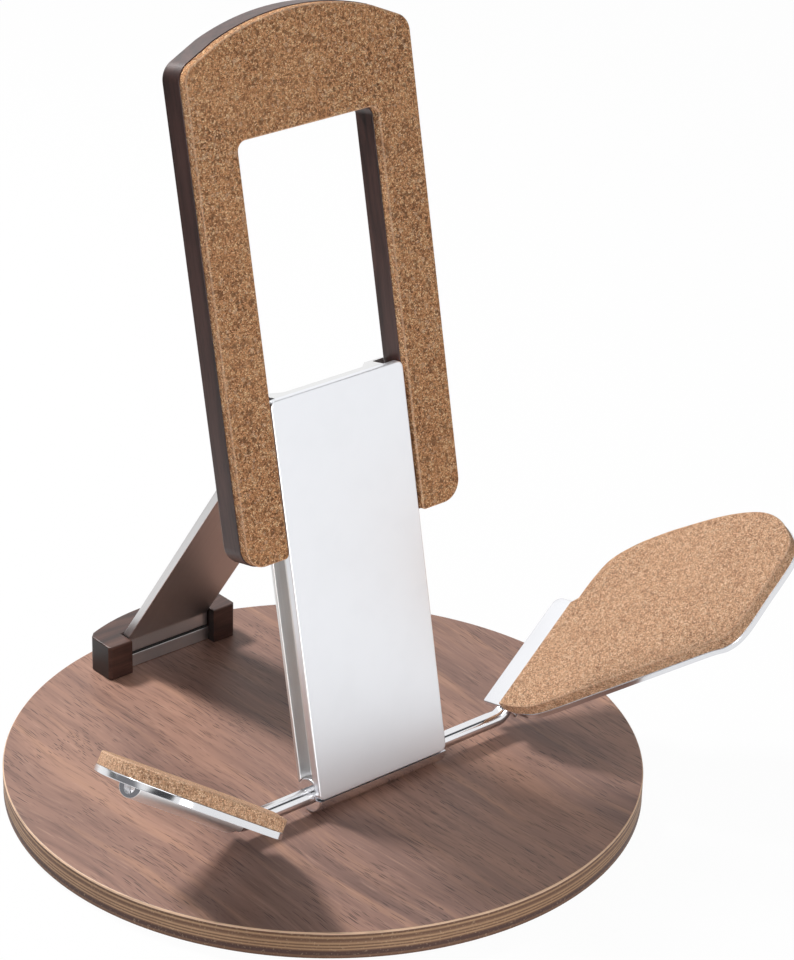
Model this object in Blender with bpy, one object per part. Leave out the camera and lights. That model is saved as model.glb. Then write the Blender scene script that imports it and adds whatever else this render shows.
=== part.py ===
"""Folding guitar stand: round plywood base, hinged aluminium column with a rear strut,
sliding cork-faced yoke and two cork-faced leaves that flip about bent rods.

All driving sizes are in millimetres. +X is to the right seen from the front, +Y is to the
rear and +Z is up. The stand is drawn open, as in use.
"""
import math

import bmesh
import bpy
from mathutils import Matrix, Vector
from mathutils.geometry import delaunay_2d_cdt

MM = 0.001
GAP = 0.3                      # air between two pieces that rest on each other
RUN = 0.06                     # radial clearance of a shaft that turns in its bore

# round base
BOARD_RADIUS = 150.0
BOARD_THICK = 13.5
BOARD_EDGE = 0.8
PAD_RADIUS = 11.0
PAD_PROUD = 1.5                # how far the rubber pads lift the board
PAD_SUNK = 1.0
PAD_CIRCLE = 122.0

# crossbar, column hinge and lean
ROD_RADIUS = 4.0
ROD_FACETS = 22
BARREL_RADIUS = ROD_RADIUS + 4.3
BARREL_LIFT = 0.5              # air between the barrel and the base
AXIS_Y = -36.1
LEAN = 11.8                    # degrees back from upright

# column, measured along its own axes: v up the column, n out of its front
COLUMN_HALF = 37.8
COLUMN_HEIGHT = 187.7
PLATE_THICK = 3.5
PLATE_CORNER = 3.0
PLATE_LOW = -1.2                # lower edge of the plate, a little below the hinge axis
COLUMN_REAR = -7.2
CHANNEL_FLOOR = -2.0
RAIL_THICK = 2.0
FRONT_LIP = 1.0
TONGUE_HEIGHT = 29.0

# rear strut, which folds into the channel of the column
STRUT_HALF = COLUMN_HALF - 13.3
STRUT_THICK = 4.0
STRUT_OFFSET = 4.0             # pivot axis to the front face of the strut plate
PIVOT_RADIUS = 1.5
KNUCKLE_RADIUS = 2.9
PIVOT_V = COLUMN_HEIGHT - 13.7
PIVOT_N = CHANNEL_FLOOR - GAP - KNUCKLE_RADIUS
LUG_INNER = STRUT_HALF - 6.2
LUG_OUTER = STRUT_HALF - 2.3
FOOT_Y = 121.7                 # front face of the strut's foot flange
FOLD_HEIGHT = 16.0             # above the base

CHANNEL_FLOOR_HALF = STRUT_HALF - 2.0
CHANNEL_MOUTH_HALF = STRUT_HALF + 3.3
GROOVE_BOTTOM_HALF = COLUMN_HALF - 6.8
TONGUE_HALF = CHANNEL_FLOOR_HALF - 2.8

# hinge bracket on the base, hidden behind the foot of the column
EAR_INNER = 6.5
EAR_OUTER = 11.5
BRACKET_HALF = 13.5
BRACKET_FRONT = BARREL_RADIUS + 1.7    # distances behind the hinge axis
BRACKET_REAR = BARREL_RADIUS + 26.7
EAR_REAR = BARREL_RADIUS + 8.7
BRACKET_THICK = 3.0

# bent arms
ELBOW_HALF = COLUMN_HALF + 39.7
BEND_ANGLE = 34.8
BEND_RADIUS = 10.0
ROD_LENGTH = 63.3              # from the elbow to the free end
ROD_GROOVE = (28.0, 32.0)
GROOVE_DEEP = 0.8

# leaves, measured from the elbow: a along the rod, b forward, h square to the leaf
LEAF_TOP = ROD_RADIUS + 0.7
LEAF_LOW = LEAF_TOP - 3.2
LEAF_CORK_TOP = LEAF_TOP + 5.9
SLEEVE_HALF = ROD_RADIUS + 4.0
SLEEVE_DEPTH = ROD_RADIUS + 1.7
SLEEVE_START = 4.0
SLEEVE_END = ROD_LENGTH + 3.2
STRIP_START = 3.5
STRIP_END = SLEEVE_END + 1.5
STRIP_REAR = -SLEEVE_HALF - 2.8
PLATE_MARGIN = 0.4

# yoke
YOKE_WINDOW_HALF = COLUMN_HALF + 0.7
YOKE_HALF = YOKE_WINDOW_HALF + 23.6
YOKE_FOOT = COLUMN_HEIGHT - 71.7
YOKE_SHOULDER = YOKE_FOOT + 222.4
YOKE_CROWN = YOKE_FOOT + 238.5
YOKE_WINDOW_TOP = YOKE_FOOT + 187.0
YOKE_WOOD_FRONT = 5.3
YOKE_CORK_FRONT = 9.9
GLIDE_LOW = 5.0                # the glide's lower end above the foot of the leg
GLIDE_LONG = 60.0

# holder of the strut's foot
HOLDER_FRONT = FOOT_Y - 4.7
HOLDER_SIDE_REAR = FOOT_Y + 12.3
HOLDER_REAR = FOOT_Y + 20.3
HOLDER_GAP_HALF = STRUT_HALF + 0.5
HOLDER_HALF = HOLDER_GAP_HALF + 13.4
HOLDER_HEIGHT = 18.2
BAR_HEIGHT = 7.0
BAR_HOUSING = 1.6
PAD_STRIP = 1.2

BOARD_TOP = PAD_PROUD + BOARD_THICK
AXIS_Z = BOARD_TOP + BARREL_RADIUS + BARREL_LIFT
PLATE_FRONT = BARREL_RADIUS
PLATE_BACK = PLATE_FRONT - PLATE_THICK
WEB_FRONT = PLATE_BACK - GAP
SIN_L = math.sin(math.radians(LEAN))
COS_L = math.cos(math.radians(LEAN))
UP = Vector((0, SIN_L, COS_L))
OUT = Vector((0, -COS_L, SIN_L))
SIDE = Vector((1, 0, 0))
AXIS = Vector((0, AXIS_Y, AXIS_Z))


def clear_scene():
    for item in list(bpy.data.objects):
        bpy.data.objects.remove(item, do_unlink=True)


def axes(first, second, third, origin):
    """Matrix that puts drawing directions a, b and c along the given directions."""
    turn = Matrix((first, second, third)).transposed().to_4x4()
    return Matrix.Translation(origin) @ turn


FLAT = Matrix.Identity(4)
COLUMN_FACE = axes(SIDE, UP, OUT, AXIS)
COLUMN_SECTION = axes(OUT, SIDE, UP, AXIS)
COLUMN_EDGE = axes(UP, OUT, SIDE, AXIS)
UPRIGHT = axes(Vector((0, 1, 0)), Vector((0, 0, 1)), SIDE, Vector((0, 0, 0)))
AXIS_UPRIGHT = axes(Vector((0, 1, 0)), Vector((0, 0, 1)), SIDE, AXIS)


def leaf_directions(side):
    bend = math.radians(BEND_ANGLE)
    along = math.cos(bend) * side * SIDE + math.sin(bend) * UP
    square = -math.sin(bend) * side * SIDE + math.cos(bend) * UP
    return along, square, AXIS + side * ELBOW_HALF * SIDE


def leaf_plan(side):
    along, square, elbow = leaf_directions(side)
    return axes(OUT, along, square, elbow)


def leaf_section(side):
    along, square, elbow = leaf_directions(side)
    return axes(square, OUT, along, elbow)


def rounded(corners, steps=6):
    """Closed outline through corners (x, y, radius), each one turned by an arc."""
    points = []
    count = len(corners)
    for index in range(count):
        x, y, radius = corners[index]
        here = Vector((x, y))
        if radius <= 0:
            points.append((x, y))
            continue
        before = (Vector(corners[index - 1][:2]) - here).normalized()
        after = (Vector(corners[(index + 1) % count][:2]) - here).normalized()
        half = before.angle(after) / 2
        centre = here + (before + after).normalized() * radius / math.sin(half)
        start = here + before * radius / math.tan(half) - centre
        end = here + after * radius / math.tan(half) - centre
        sweep = start.angle_signed(end)
        for step in range(steps + 1):
            turn = -sweep * step / steps
            spun = Matrix.Rotation(turn, 2) @ start
            points.append((centre.x + spun.x, centre.y + spun.y))
    return points


def smooth_run(points, steps=4):
    """Points on a smooth curve through the given points."""
    ends = [points[0]] + list(points) + [points[-1]]
    run = []
    for index in range(1, len(ends) - 2):
        p0, p1, p2, p3 = (Vector(ends[index + k]) for k in (-1, 0, 1, 2))
        for step in range(steps):
            t = step / steps
            spot = 0.5 * (2 * p1 + (p2 - p0) * t + (2 * p0 - 5 * p1 + 4 * p2 - p3) * t * t
                          + (3 * p1 - p0 - 3 * p2 + p3) * t ** 3)
            run.append((spot.x, spot.y))
    run.append(tuple(points[-1]))
    return run


def circle(radius, count=48, x=0.0, y=0.0):
    turn = 2 * math.pi / count
    return [(x + radius * math.cos(turn * k), y + radius * math.sin(turn * k)) for k in range(count)]


def arc(radius, start, end, count, x=0.0, y=0.0):
    """Points on an arc between two angles in degrees."""
    points = []
    for k in range(count + 1):
        angle = math.radians(start + (end - start) * k / count)
        points.append((x + radius * math.cos(angle), y + radius * math.sin(angle)))
    return points


def settle(bm, frame):
    bmesh.ops.transform(bm, matrix=frame, verts=bm.verts)
    bmesh.ops.recalc_face_normals(bm, faces=bm.faces)
    return bm


def signed_area(loop):
    return 0.5 * sum(loop[k - 1][0] * loop[k][1] - loop[k][0] * loop[k - 1][1] for k in range(len(loop)))


def inset(loop, width):
    """The same outline moved inwards; the loop runs anticlockwise."""
    moved = []
    count = len(loop)
    for k in range(count):
        here = Vector(loop[k])
        before = (here - Vector(loop[k - 1])).normalized()
        after = (Vector(loop[(k + 1) % count]) - here).normalized()
        inward = Vector((-before.y - after.y, before.x + after.x)).normalized()
        spread = max(0.35, inward.dot(Vector((-after.y, after.x))))
        spot = here + inward * width / spread
        moved.append((spot.x, spot.y))
    return moved


def edge_levels(low, high, low_edge, high_edge, segments):
    """(inset, height) of each ring of a prism whose rims are rounded over."""
    levels = []
    for k in range(segments + 1 if low_edge > 0 else 1):
        turn = math.pi / 2 * k / segments if low_edge > 0 else math.pi / 2
        levels.append((low_edge * (1 - math.sin(turn)), low + low_edge * (1 - math.cos(turn)) * (low_edge > 0)))
    for k in range(segments, -1, -1) if high_edge > 0 else (0,):
        turn = math.pi / 2 * k / segments if high_edge > 0 else math.pi / 2
        levels.append((high_edge * (1 - math.sin(turn)), high - high_edge * (1 - math.cos(turn)) * (high_edge > 0)))
    return levels


def prism(loop, low, high, frame=FLAT, low_edge=0.0, high_edge=0.0, segments=2):
    """Solid with the outline drawn in a, b and its length along c."""
    if signed_area(loop) < 0:
        loop = list(reversed(loop))
    bm = bmesh.new()
    rings = []
    for width, height in edge_levels(low, high, low_edge, high_edge, segments):
        drawn = inset(loop, width) if width > 0 else loop
        rings.append([bm.verts.new((a, b, height)) for a, b in drawn])
    count = len(loop)
    for lower, upper in zip(rings, rings[1:]):
        for k in range(count):
            nxt = (k + 1) % count
            bm.faces.new((lower[k], lower[nxt], upper[nxt], upper[k]))
    for ring in (rings[0], rings[-1]):
        flat = [Vector((v.co.x, v.co.y)) for v in ring]
        kept = delaunay_2d_cdt(flat, [], [list(range(count))], 1, 1e-7)
        names = [origin[0] for origin in kept[3]]
        for triangle in kept[2]:
            bm.faces.new([ring[names[k]] for k in triangle])
    return settle(bm, frame)


def turned(profile, frame=FLAT, count=20):
    """Solid of revolution about c from (radius, height) pairs that start and end on the axis."""
    bm = bmesh.new()
    rings = []
    for radius, height in profile:
        if radius <= 0:
            rings.append([bm.verts.new((0, 0, height))])
        else:
            rings.append([bm.verts.new((x, y, height)) for x, y in circle(radius, count)])
    for lower, upper in zip(rings, rings[1:]):
        for k in range(count):
            nxt = (k + 1) % count
            if len(lower) == 1:
                bm.faces.new((lower[0], upper[nxt], upper[k]))
            elif len(upper) == 1:
                bm.faces.new((lower[k], lower[nxt], upper[0]))
            else:
                bm.faces.new((lower[k], lower[nxt], upper[nxt], upper[k]))
    return settle(bm, frame)


def scratch(bm):
    mesh = bpy.data.meshes.new("scratch")
    bm.to_mesh(mesh)
    bm.free()
    item = bpy.data.objects.new("scratch", mesh)
    bpy.context.scene.collection.objects.link(item)
    return item


def combine(body, tool, way):
    """Exact join or cut of two solids."""
    first = scratch(body)
    second = scratch(tool)
    modifier = first.modifiers.new("combine", "BOOLEAN")
    modifier.operation = way
    modifier.solver = "EXACT"
    modifier.object = second
    bpy.context.view_layer.update()
    ready = first.evaluated_get(bpy.context.evaluated_depsgraph_get())
    mesh = bpy.data.meshes.new_from_object(ready)
    result = bmesh.new()
    result.from_mesh(mesh)
    bmesh.ops.remove_doubles(result, verts=result.verts, dist=1e-4)
    for item in (first, second):
        bpy.data.objects.remove(item, do_unlink=True)
    return result


def cut(body, *tools):
    for tool in tools:
        body = combine(body, tool, "DIFFERENCE")
    return body


def join(body, *tools):
    for tool in tools:
        body = combine(body, tool, "UNION")
    return body


def make(name, bm, origin, finish):
    """Object in metres with its origin at the given point."""
    shift = Vector(origin)
    bmesh.ops.transform(bm, matrix=Matrix.Scale(MM, 4) @ Matrix.Translation(-shift), verts=bm.verts)
    bmesh.ops.recalc_face_normals(bm, faces=bm.faces)
    mesh = bpy.data.meshes.new(name)
    bm.to_mesh(mesh)
    bm.free()
    mesh.polygons.foreach_set("use_smooth", [True] * len(mesh.polygons))
    mesh.set_sharp_from_angle(angle=math.radians(28))
    mesh.materials.append(finish)
    item = bpy.data.objects.new(name, mesh)
    item.location = shift * MM
    bpy.context.scene.collection.objects.link(item)
    return item


def finish(name, colour, metallic, roughness):
    material = bpy.data.materials.new(name)
    material.use_nodes = True
    shader = material.node_tree.nodes["Principled BSDF"]
    shader.inputs["Base Color"].default_value = (*colour, 1)
    shader.inputs["Metallic"].default_value = metallic
    shader.inputs["Roughness"].default_value = roughness
    return material


def along(direction, origin):
    """Frame whose c axis runs along a direction."""
    turn = Vector(direction).to_track_quat("Z", "Y").to_matrix().to_4x4()
    return Matrix.Translation(origin) @ turn


def hex_socket(radius, low, high, frame):
    return prism(circle(radius, 6), low, high, frame)


def countersunk(head, shank, length, frame, socket=0.32):
    """Countersunk screw whose head is flush at c = 0 and whose shank runs towards -c."""
    drop = head - shank
    body = turned([(0, 0), (head - 0.2, 0), (head, -0.2), (shank, -0.2 - drop),
                   (shank, -length + 0.6), (shank - 0.6, -length), (0, -length)], frame, 10)
    return cut(body, hex_socket(head * socket * 1.4, -1.4, 1.0, frame))


def countersink(head, shank, depth, frame):
    """Room for a countersunk screw, open at c = 0."""
    drop = head - shank
    wide = head + GAP
    slim = shank + GAP
    return turned([(0, 1.0), (wide + 0.6, 1.0), (wide, 0), (wide, -0.3), (slim, -0.3 - drop),
                   (slim, -depth), (0, -depth)], frame, 10)


def socket_head(head, tall, shank, length, frame):
    """Cap screw whose head stands on c = 0 and whose shank runs towards -c."""
    body = turned([(0, tall), (head - 0.4, tall), (head, tall - 0.4), (head, 0), (shank, 0),
                   (shank, -length), (0, -length)], frame, 10)
    return cut(body, hex_socket(head * 0.5, tall - 1.5, tall + 1.0, frame))


def base_pieces(look):
    pads = []
    for k in range(4):
        angle = math.radians(45 + 90 * k)
        pads.append(Vector((PAD_CIRCLE * math.cos(angle), PAD_CIRCLE * math.sin(angle), 0)))
    board = prism(circle(BOARD_RADIUS, 96), PAD_PROUD, BOARD_TOP, FLAT, BOARD_EDGE, BOARD_EDGE, 1)
    for spot in pads:
        board = cut(board, turned([(0, 0), (PAD_RADIUS + GAP, 0), (PAD_RADIUS + GAP, PAD_PROUD + PAD_SUNK),
                                   (0, PAD_PROUD + PAD_SUNK)], Matrix.Translation(spot)))
    for spot in holder_screw_spots():
        board = cut(board, countersink(4.0, 2.0, 40.0, along((0, 0, -1), (*spot, PAD_PROUD))))
    for spot in bracket_screw_spots():
        board = cut(board, turned([(0, BOARD_TOP + 1), (1.8 + GAP, BOARD_TOP + 1), (1.8 + GAP, BOARD_TOP - 9.5),
                                   (0, BOARD_TOP - 9.5)], Matrix.Translation((*spot, 0))))
    make("base_board", board, (0, 0, 0), look["walnut_ply"])
    for k, spot in enumerate(pads):
        top = PAD_PROUD + PAD_SUNK - GAP
        pad = turned([(0, 0), (PAD_RADIUS - 0.6, 0), (PAD_RADIUS, 0.6), (PAD_RADIUS, top), (0, top)],
                     Matrix.Translation(spot))
        make("foot_pad_%d" % (k + 1), pad, spot, look["black_rubber"])


def holder_screw_spots():
    side = (HOLDER_HALF + HOLDER_GAP_HALF) / 2
    depth = (HOLDER_FRONT + HOLDER_SIDE_REAR) / 2
    return [(-side, depth), (side, depth), (0.0, (FOOT_Y + STRUT_THICK + HOLDER_REAR) / 2)]


def bracket_screw_spots():
    return [(0.0, AXIS_Y + BRACKET_FRONT + 5.0), (0.0, AXIS_Y + BRACKET_REAR - 7.0)]


def bracket_pieces(look):
    low = BOARD_TOP + GAP - AXIS_Z
    plate_top = low + BRACKET_THICK
    hole = ROD_RADIUS + 0.15
    rise = [(hole * 0.98 * math.cos(math.radians(50)), hole * 0.98 * math.sin(math.radians(50))),
            (ROD_RADIUS - 0.3, ROD_RADIUS + 0.4), (EAR_REAR, ROD_RADIUS + 0.4), (EAR_REAR, low), (BRACKET_FRONT, low), (BRACKET_FRONT, -3.2),
            (BARREL_RADIUS + 0.5, -3.2), (hole * 0.98 * math.cos(math.radians(-20)), hole * 0.98 * math.sin(math.radians(-20)))]
    plan = rounded([(-BRACKET_HALF, BRACKET_FRONT, 1.5), (BRACKET_HALF, BRACKET_FRONT, 1.5),
                    (BRACKET_HALF, BRACKET_REAR, 5.0), (-BRACKET_HALF, BRACKET_REAR, 5.0)])
    lift = Matrix.Translation((0, AXIS_Y, AXIS_Z))
    body = prism(plan, low, plate_top, lift, 0.0, 0.4, 1)
    for side in (-1, 1):
        near, far = sorted((side * EAR_INNER, side * EAR_OUTER))
        ear = prism(rise, near, far, AXIS_UPRIGHT)
        ear = cut(ear, prism(circle(hole, 24), near - 1, far + 1, AXIS_UPRIGHT))
        body = join(body, ear)
    for x, y in bracket_screw_spots():
        body = cut(body, countersink(3.2, 1.75, 12.0, along((0, 0, 1), (x, y, AXIS_Z + plate_top))))
    for side in (-1, 1):
        bolt = along((0, 1, 0), AXIS + Vector((side * (EAR_INNER + EAR_OUTER) / 2, EAR_REAR, 0.7)))
        body = cut(body, turned([(0, 2), (1.5 + 0.2, 2), (1.5 + 0.2, -EAR_REAR), (0, -EAR_REAR)], bolt, 10))
    make("hinge_bracket", body, AXIS, look["dark_steel"])
    for k, (x, y) in enumerate(bracket_screw_spots()):
        top = AXIS_Z + plate_top
        screw = countersunk(3.2, 1.75, 12.0, along((0, 0, 1), (x, y, top)), 0.3)
        make("bracket_screw_%d" % (k + 1), screw, (x, y, top), look["zinc_screw"])
    for side, word in ((-1, "left"), (1, "right")):
        seat = AXIS + Vector((side * (EAR_INNER + EAR_OUTER) / 2, EAR_REAR + GAP, 0.7))
        screw = socket_head(2.75, 2.6, 1.5, EAR_REAR + GAP, along((0, 1, 0), seat))
        make("arm_screw_" + word, screw, seat, look["zinc_screw"])


def rod_path(side):
    """Centre line of one arm as (point, direction) pairs, from inside the barrel outwards."""
    bend = math.radians(BEND_ANGLE)
    tangent = BEND_RADIUS * math.tan(bend / 2)
    out, square, elbow = leaf_directions(side)
    start = AXIS + side * 3.0 * SIDE
    path = [(start, side * SIDE, 0.6), (start + side * 0.6 * SIDE, side * SIDE, 0.0)]
    centre = elbow - side * tangent * SIDE + BEND_RADIUS * UP
    for step in range(9):
        turn = bend * step / 8
        spot = centre + BEND_RADIUS * (math.sin(turn) * side * SIDE - math.cos(turn) * UP)
        path.append((spot, math.cos(turn) * side * SIDE + math.sin(turn) * UP, 0.0))
    low, high = ROD_GROOVE
    for distance, less in ((low, 0.0), (low, GROOVE_DEEP), (high, GROOVE_DEEP), (high, 0.0),
                           (ROD_LENGTH - 0.8, 0.0), (ROD_LENGTH, 0.8)):
        path.append((elbow + distance * out, out, less))
    return path


def swept_rod(side):
    bm = bmesh.new()
    rings = []
    for spot, direction, less in rod_path(side):
        across = direction.cross(OUT)
        rings.append([bm.verts.new(spot + x * OUT + y * across) for x, y in circle(ROD_RADIUS - less, ROD_FACETS)])
    bm.faces.new(rings[0])
    bm.faces.new(rings[-1])
    for first, second in zip(rings, rings[1:]):
        for k in range(ROD_FACETS):
            bm.faces.new((first[k], first[(k + 1) % ROD_FACETS], second[(k + 1) % ROD_FACETS], second[k]))
    bmesh.ops.recalc_face_normals(bm, faces=bm.faces)
    return bm


def pin_frame(side):
    out, square, elbow = leaf_directions(side)
    lean = math.radians(-45)
    direction = math.cos(lean) * OUT + math.sin(lean) * square
    return along(direction, elbow + 5.6 * out)


def arm_pieces(look):
    sunk = ROD_RADIUS - 1.7
    for side, word in ((-1, "left"), (1, "right")):
        rod = swept_rod(side)
        bolt = along((0, -1, 0), AXIS + Vector((side * (EAR_INNER + EAR_OUTER) / 2, ROD_RADIUS + 1, 0.7)))
        rod = cut(rod, turned([(0, 0), (1.7, 0), (1.7, ROD_RADIUS + 1.6), (0, ROD_RADIUS + 1.6)], bolt, 10))
        rod = cut(rod, turned([(0, sunk - 0.3), (1.15, sunk - 0.3), (1.15, ROD_RADIUS + 2), (0, ROD_RADIUS + 2)],
                              pin_frame(side), 10))
        make("arm_rod_" + word, rod, AXIS, look["polished_steel"])
        proud = ROD_RADIUS + 1.6
        pin = turned([(0, sunk), (1.0, sunk), (1.0, proud - 0.3), (0.7, proud), (0, proud)],
                     pin_frame(side), 10)
        make("stop_pin_" + word, pin, AXIS, look["zinc_screw"])


def holder_pieces(look):
    low = BOARD_TOP + GAP
    top = BOARD_TOP + HOLDER_HEIGHT
    back = FOOT_Y + STRUT_THICK + GAP
    bulge = HOLDER_REAR - HOLDER_SIDE_REAR
    reach = (HOLDER_HALF ** 2 + bulge ** 2) / (2 * bulge)
    swing = math.degrees(math.asin((HOLDER_HALF - 3.0) / reach))
    rear = arc(reach, 90 - swing, 90 + swing, 14, 0.0, HOLDER_REAR - reach)
    left = arc(3.0, 125, 180, 5, -HOLDER_HALF + 3.0, HOLDER_SIDE_REAR - 3.0)
    right = [(-x, y) for x, y in reversed(left)]
    front = [(-HOLDER_HALF, HOLDER_FRONT + 1.5), (-HOLDER_HALF + 1.5, HOLDER_FRONT),
             (-HOLDER_GAP_HALF, HOLDER_FRONT), (-HOLDER_GAP_HALF, back), (HOLDER_GAP_HALF, back),
             (HOLDER_GAP_HALF, HOLDER_FRONT), (HOLDER_HALF - 1.5, HOLDER_FRONT), (HOLDER_HALF, HOLDER_FRONT + 1.5)]
    body = prism(front + right + rear + left, low, top, FLAT, 0.0, 0.7, 2)
    bar_half = HOLDER_GAP_HALF + BAR_HOUSING
    slot_half = bar_half + GAP
    slot = [(-slot_half, FOOT_Y), (slot_half, FOOT_Y), (slot_half, back - 0.01), (-slot_half, back - 0.01)]
    body = cut(body, prism(slot, low - 1, BOARD_TOP + BAR_HEIGHT + GAP))
    for k, (x, y) in enumerate(holder_screw_spots()):
        body = cut(body, turned([(0, low - 1), (2.0 + GAP, low - 1), (2.0 + GAP, PAD_PROUD + 24.0),
                                 (0, PAD_PROUD + 24.0)], Matrix.Translation((x, y, 0)), 10))
        screw = countersunk(4.0, 2.0, 23.0, along((0, 0, -1), (x, y, PAD_PROUD + 0.1)))
        make("holder_screw_%d" % (k + 1), screw, (x, y, PAD_PROUD), look["zinc_screw"])
    make("strut_holder", body, (0, HOLDER_FRONT, BOARD_TOP), look["dark_walnut"])
    bar_back = back - GAP
    bar = prism([(-bar_half, FOOT_Y + GAP), (bar_half, FOOT_Y + GAP), (bar_half, bar_back), (-bar_half, bar_back)],
                low, BOARD_TOP + BAR_HEIGHT)
    make("holder_bar", bar, (0, FOOT_Y, BOARD_TOP), look["satin_aluminium"])
    pad_low = BOARD_TOP + BAR_HEIGHT + 0.2
    strip_half = HOLDER_GAP_HALF - 0.4
    strip = prism([(-strip_half, FOOT_Y + GAP), (strip_half, FOOT_Y + GAP), (strip_half, bar_back),
                   (-strip_half, bar_back)], pad_low, pad_low + PAD_STRIP)
    make("holder_pad", strip, (0, FOOT_Y, pad_low), look["black_rubber"])


def column_outline():
    """Half of the column's extruded section as (n, x) corners, from the middle of the web outwards."""
    return [(CHANNEL_FLOOR, CHANNEL_FLOOR_HALF, 2.0), (COLUMN_REAR, CHANNEL_MOUTH_HALF, 1.0),
            (COLUMN_REAR, COLUMN_HALF, 0.5), (COLUMN_REAR + RAIL_THICK, COLUMN_HALF, 0.5),
            (COLUMN_REAR + RAIL_THICK, GROOVE_BOTTOM_HALF, 0.8),
            (WEB_FRONT - FRONT_LIP, GROOVE_BOTTOM_HALF, 0.8), (WEB_FRONT - FRONT_LIP, COLUMN_HALF - 0.4, 0.3),
            (WEB_FRONT, COLUMN_HALF - 0.4, 0.3)]


def plate_screw_spots():
    return [(x, v) for v in (0.3 * COLUMN_HEIGHT, 0.76 * COLUMN_HEIGHT) for x in (-14.0, 14.0)]


def barrel_screw_spots():
    return [(-12.0, 0.7 * TONGUE_HEIGHT), (12.0, 0.7 * TONGUE_HEIGHT)]


def rear_frame(x, v):
    """Frame of a screw whose head lies in the floor of the rear channel."""
    return along(-OUT, AXIS + x * SIDE + v * UP + CHANNEL_FLOOR * OUT)


def column_pieces(look):
    pivot_half = GROOVE_BOTTOM_HALF - 0.8
    half = column_outline()
    mirrored = [(n, -x, r) for n, x, r in reversed(half)]
    body = prism(rounded(half + mirrored, 3), -2.0, COLUMN_HEIGHT - 0.7, COLUMN_SECTION, 0.0, 0.2, 1)
    body = cut(body, prism(circle(BARREL_RADIUS + GAP, 36), -COLUMN_HALF - 2, COLUMN_HALF + 2, COLUMN_EDGE))
    below = [(-20, -20), (0.4, -20), (0.4, 20), (-20, 20)]
    body = cut(body, prism(below, -COLUMN_HALF - 2, COLUMN_HALF + 2, COLUMN_EDGE))
    room = TONGUE_HALF + GAP
    notch = [(-5, COLUMN_REAR - 2), (TONGUE_HEIGHT + GAP, COLUMN_REAR - 2),
             (TONGUE_HEIGHT + GAP, WEB_FRONT + 1), (-5, WEB_FRONT + 1)]
    body = cut(body, prism(notch, -room, room, COLUMN_EDGE))
    body = cut(body, prism(circle(PIVOT_RADIUS + RUN, 16, PIVOT_V, PIVOT_N), -pivot_half - 0.3,
                           pivot_half + 0.3, COLUMN_EDGE))
    plate_corners = [(-COLUMN_HALF, PLATE_LOW, PLATE_CORNER), (COLUMN_HALF, PLATE_LOW, PLATE_CORNER),
                     (COLUMN_HALF, COLUMN_HEIGHT, PLATE_CORNER), (-COLUMN_HALF, COLUMN_HEIGHT, PLATE_CORNER)]
    plate = prism(rounded(plate_corners, 5), PLATE_BACK, PLATE_FRONT, COLUMN_FACE, 0.25, 0.7, 2)
    for x, v in plate_screw_spots():
        body = cut(body, countersink(3.0, 1.5, 12.0, rear_frame(x, v)))
        make_rear_screw("plate_screw", x, v, plate_screw_spots(), look)
    for x, v in plate_screw_spots() + barrel_screw_spots():
        plate = cut(plate, turned([(0, 0), (1.5 + GAP, 0), (1.5 + GAP, -9.0), (0, -9.0)], rear_frame(x, v), 10))
    for x, v in barrel_screw_spots():
        make_rear_screw("barrel_screw", x, v, barrel_screw_spots(), look)
    make("column_extrusion", body, AXIS, look["satin_aluminium"])
    make("front_plate", plate, AXIS, look["brushed_aluminium"])
    make("hinge_barrel", barrel(), AXIS, look["polished_steel"])
    pivot = pivot_point()
    rod = prism(circle(PIVOT_RADIUS, 16), -pivot_half, pivot_half, axes(UP, OUT, SIDE, pivot), 0.3, 0.3, 1)
    make("strut_pivot_rod", rod, AXIS, look["polished_steel"])


def make_rear_screw(word, x, v, spots, look):
    frame = rear_frame(x, v)
    screw = countersunk(3.0, 1.5, 8.6, frame)
    make("%s_%d" % (word, spots.index((x, v)) + 1), screw, AXIS, look["zinc_screw"])


def barrel():
    """Round hinge barrel with a step for the front plate, a tongue behind it and two ear slots."""
    step = WEB_FRONT
    long_half = COLUMN_HALF - 0.1
    body = prism(circle(BARREL_RADIUS, 36), -long_half, long_half, COLUMN_EDGE, 0.9, 0.9, 1)
    body = cut(body, prism(circle(ROD_RADIUS + RUN, ROD_FACETS), -COLUMN_HALF - 2, COLUMN_HALF + 2, COLUMN_EDGE))
    low = PLATE_LOW - GAP
    room = [(low, step), (BARREL_RADIUS + 2, step), (BARREL_RADIUS + 2, BARREL_RADIUS + 2), (low, BARREL_RADIUS + 2)]
    body = cut(body, prism(room, -COLUMN_HALF - 2, COLUMN_HALF + 2, COLUMN_EDGE))
    root = ROD_RADIUS + 1.5
    face = step - 0.1
    tongue = [(root, CHANNEL_FLOOR), (TONGUE_HEIGHT, CHANNEL_FLOOR), (TONGUE_HEIGHT, face), (root, face)]
    body = join(body, prism(tongue, -TONGUE_HALF, TONGUE_HALF, COLUMN_EDGE))
    for side in (-1, 1):
        near, far = sorted((side * (EAR_INNER - 0.5), side * (EAR_OUTER + 0.5)))
        wedge = [(0.0, 0.0)] + arc(BARREL_RADIUS + 3.7, -121, 57, 8)
        body = cut(body, prism(wedge, near, far, AXIS_UPRIGHT))
    for x, v in barrel_screw_spots():
        body = cut(body, countersink(3.0, 1.5, 12.0, rear_frame(x, v)))
    return body


def pivot_point():
    return AXIS + PIVOT_V * UP + PIVOT_N * OUT


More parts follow.
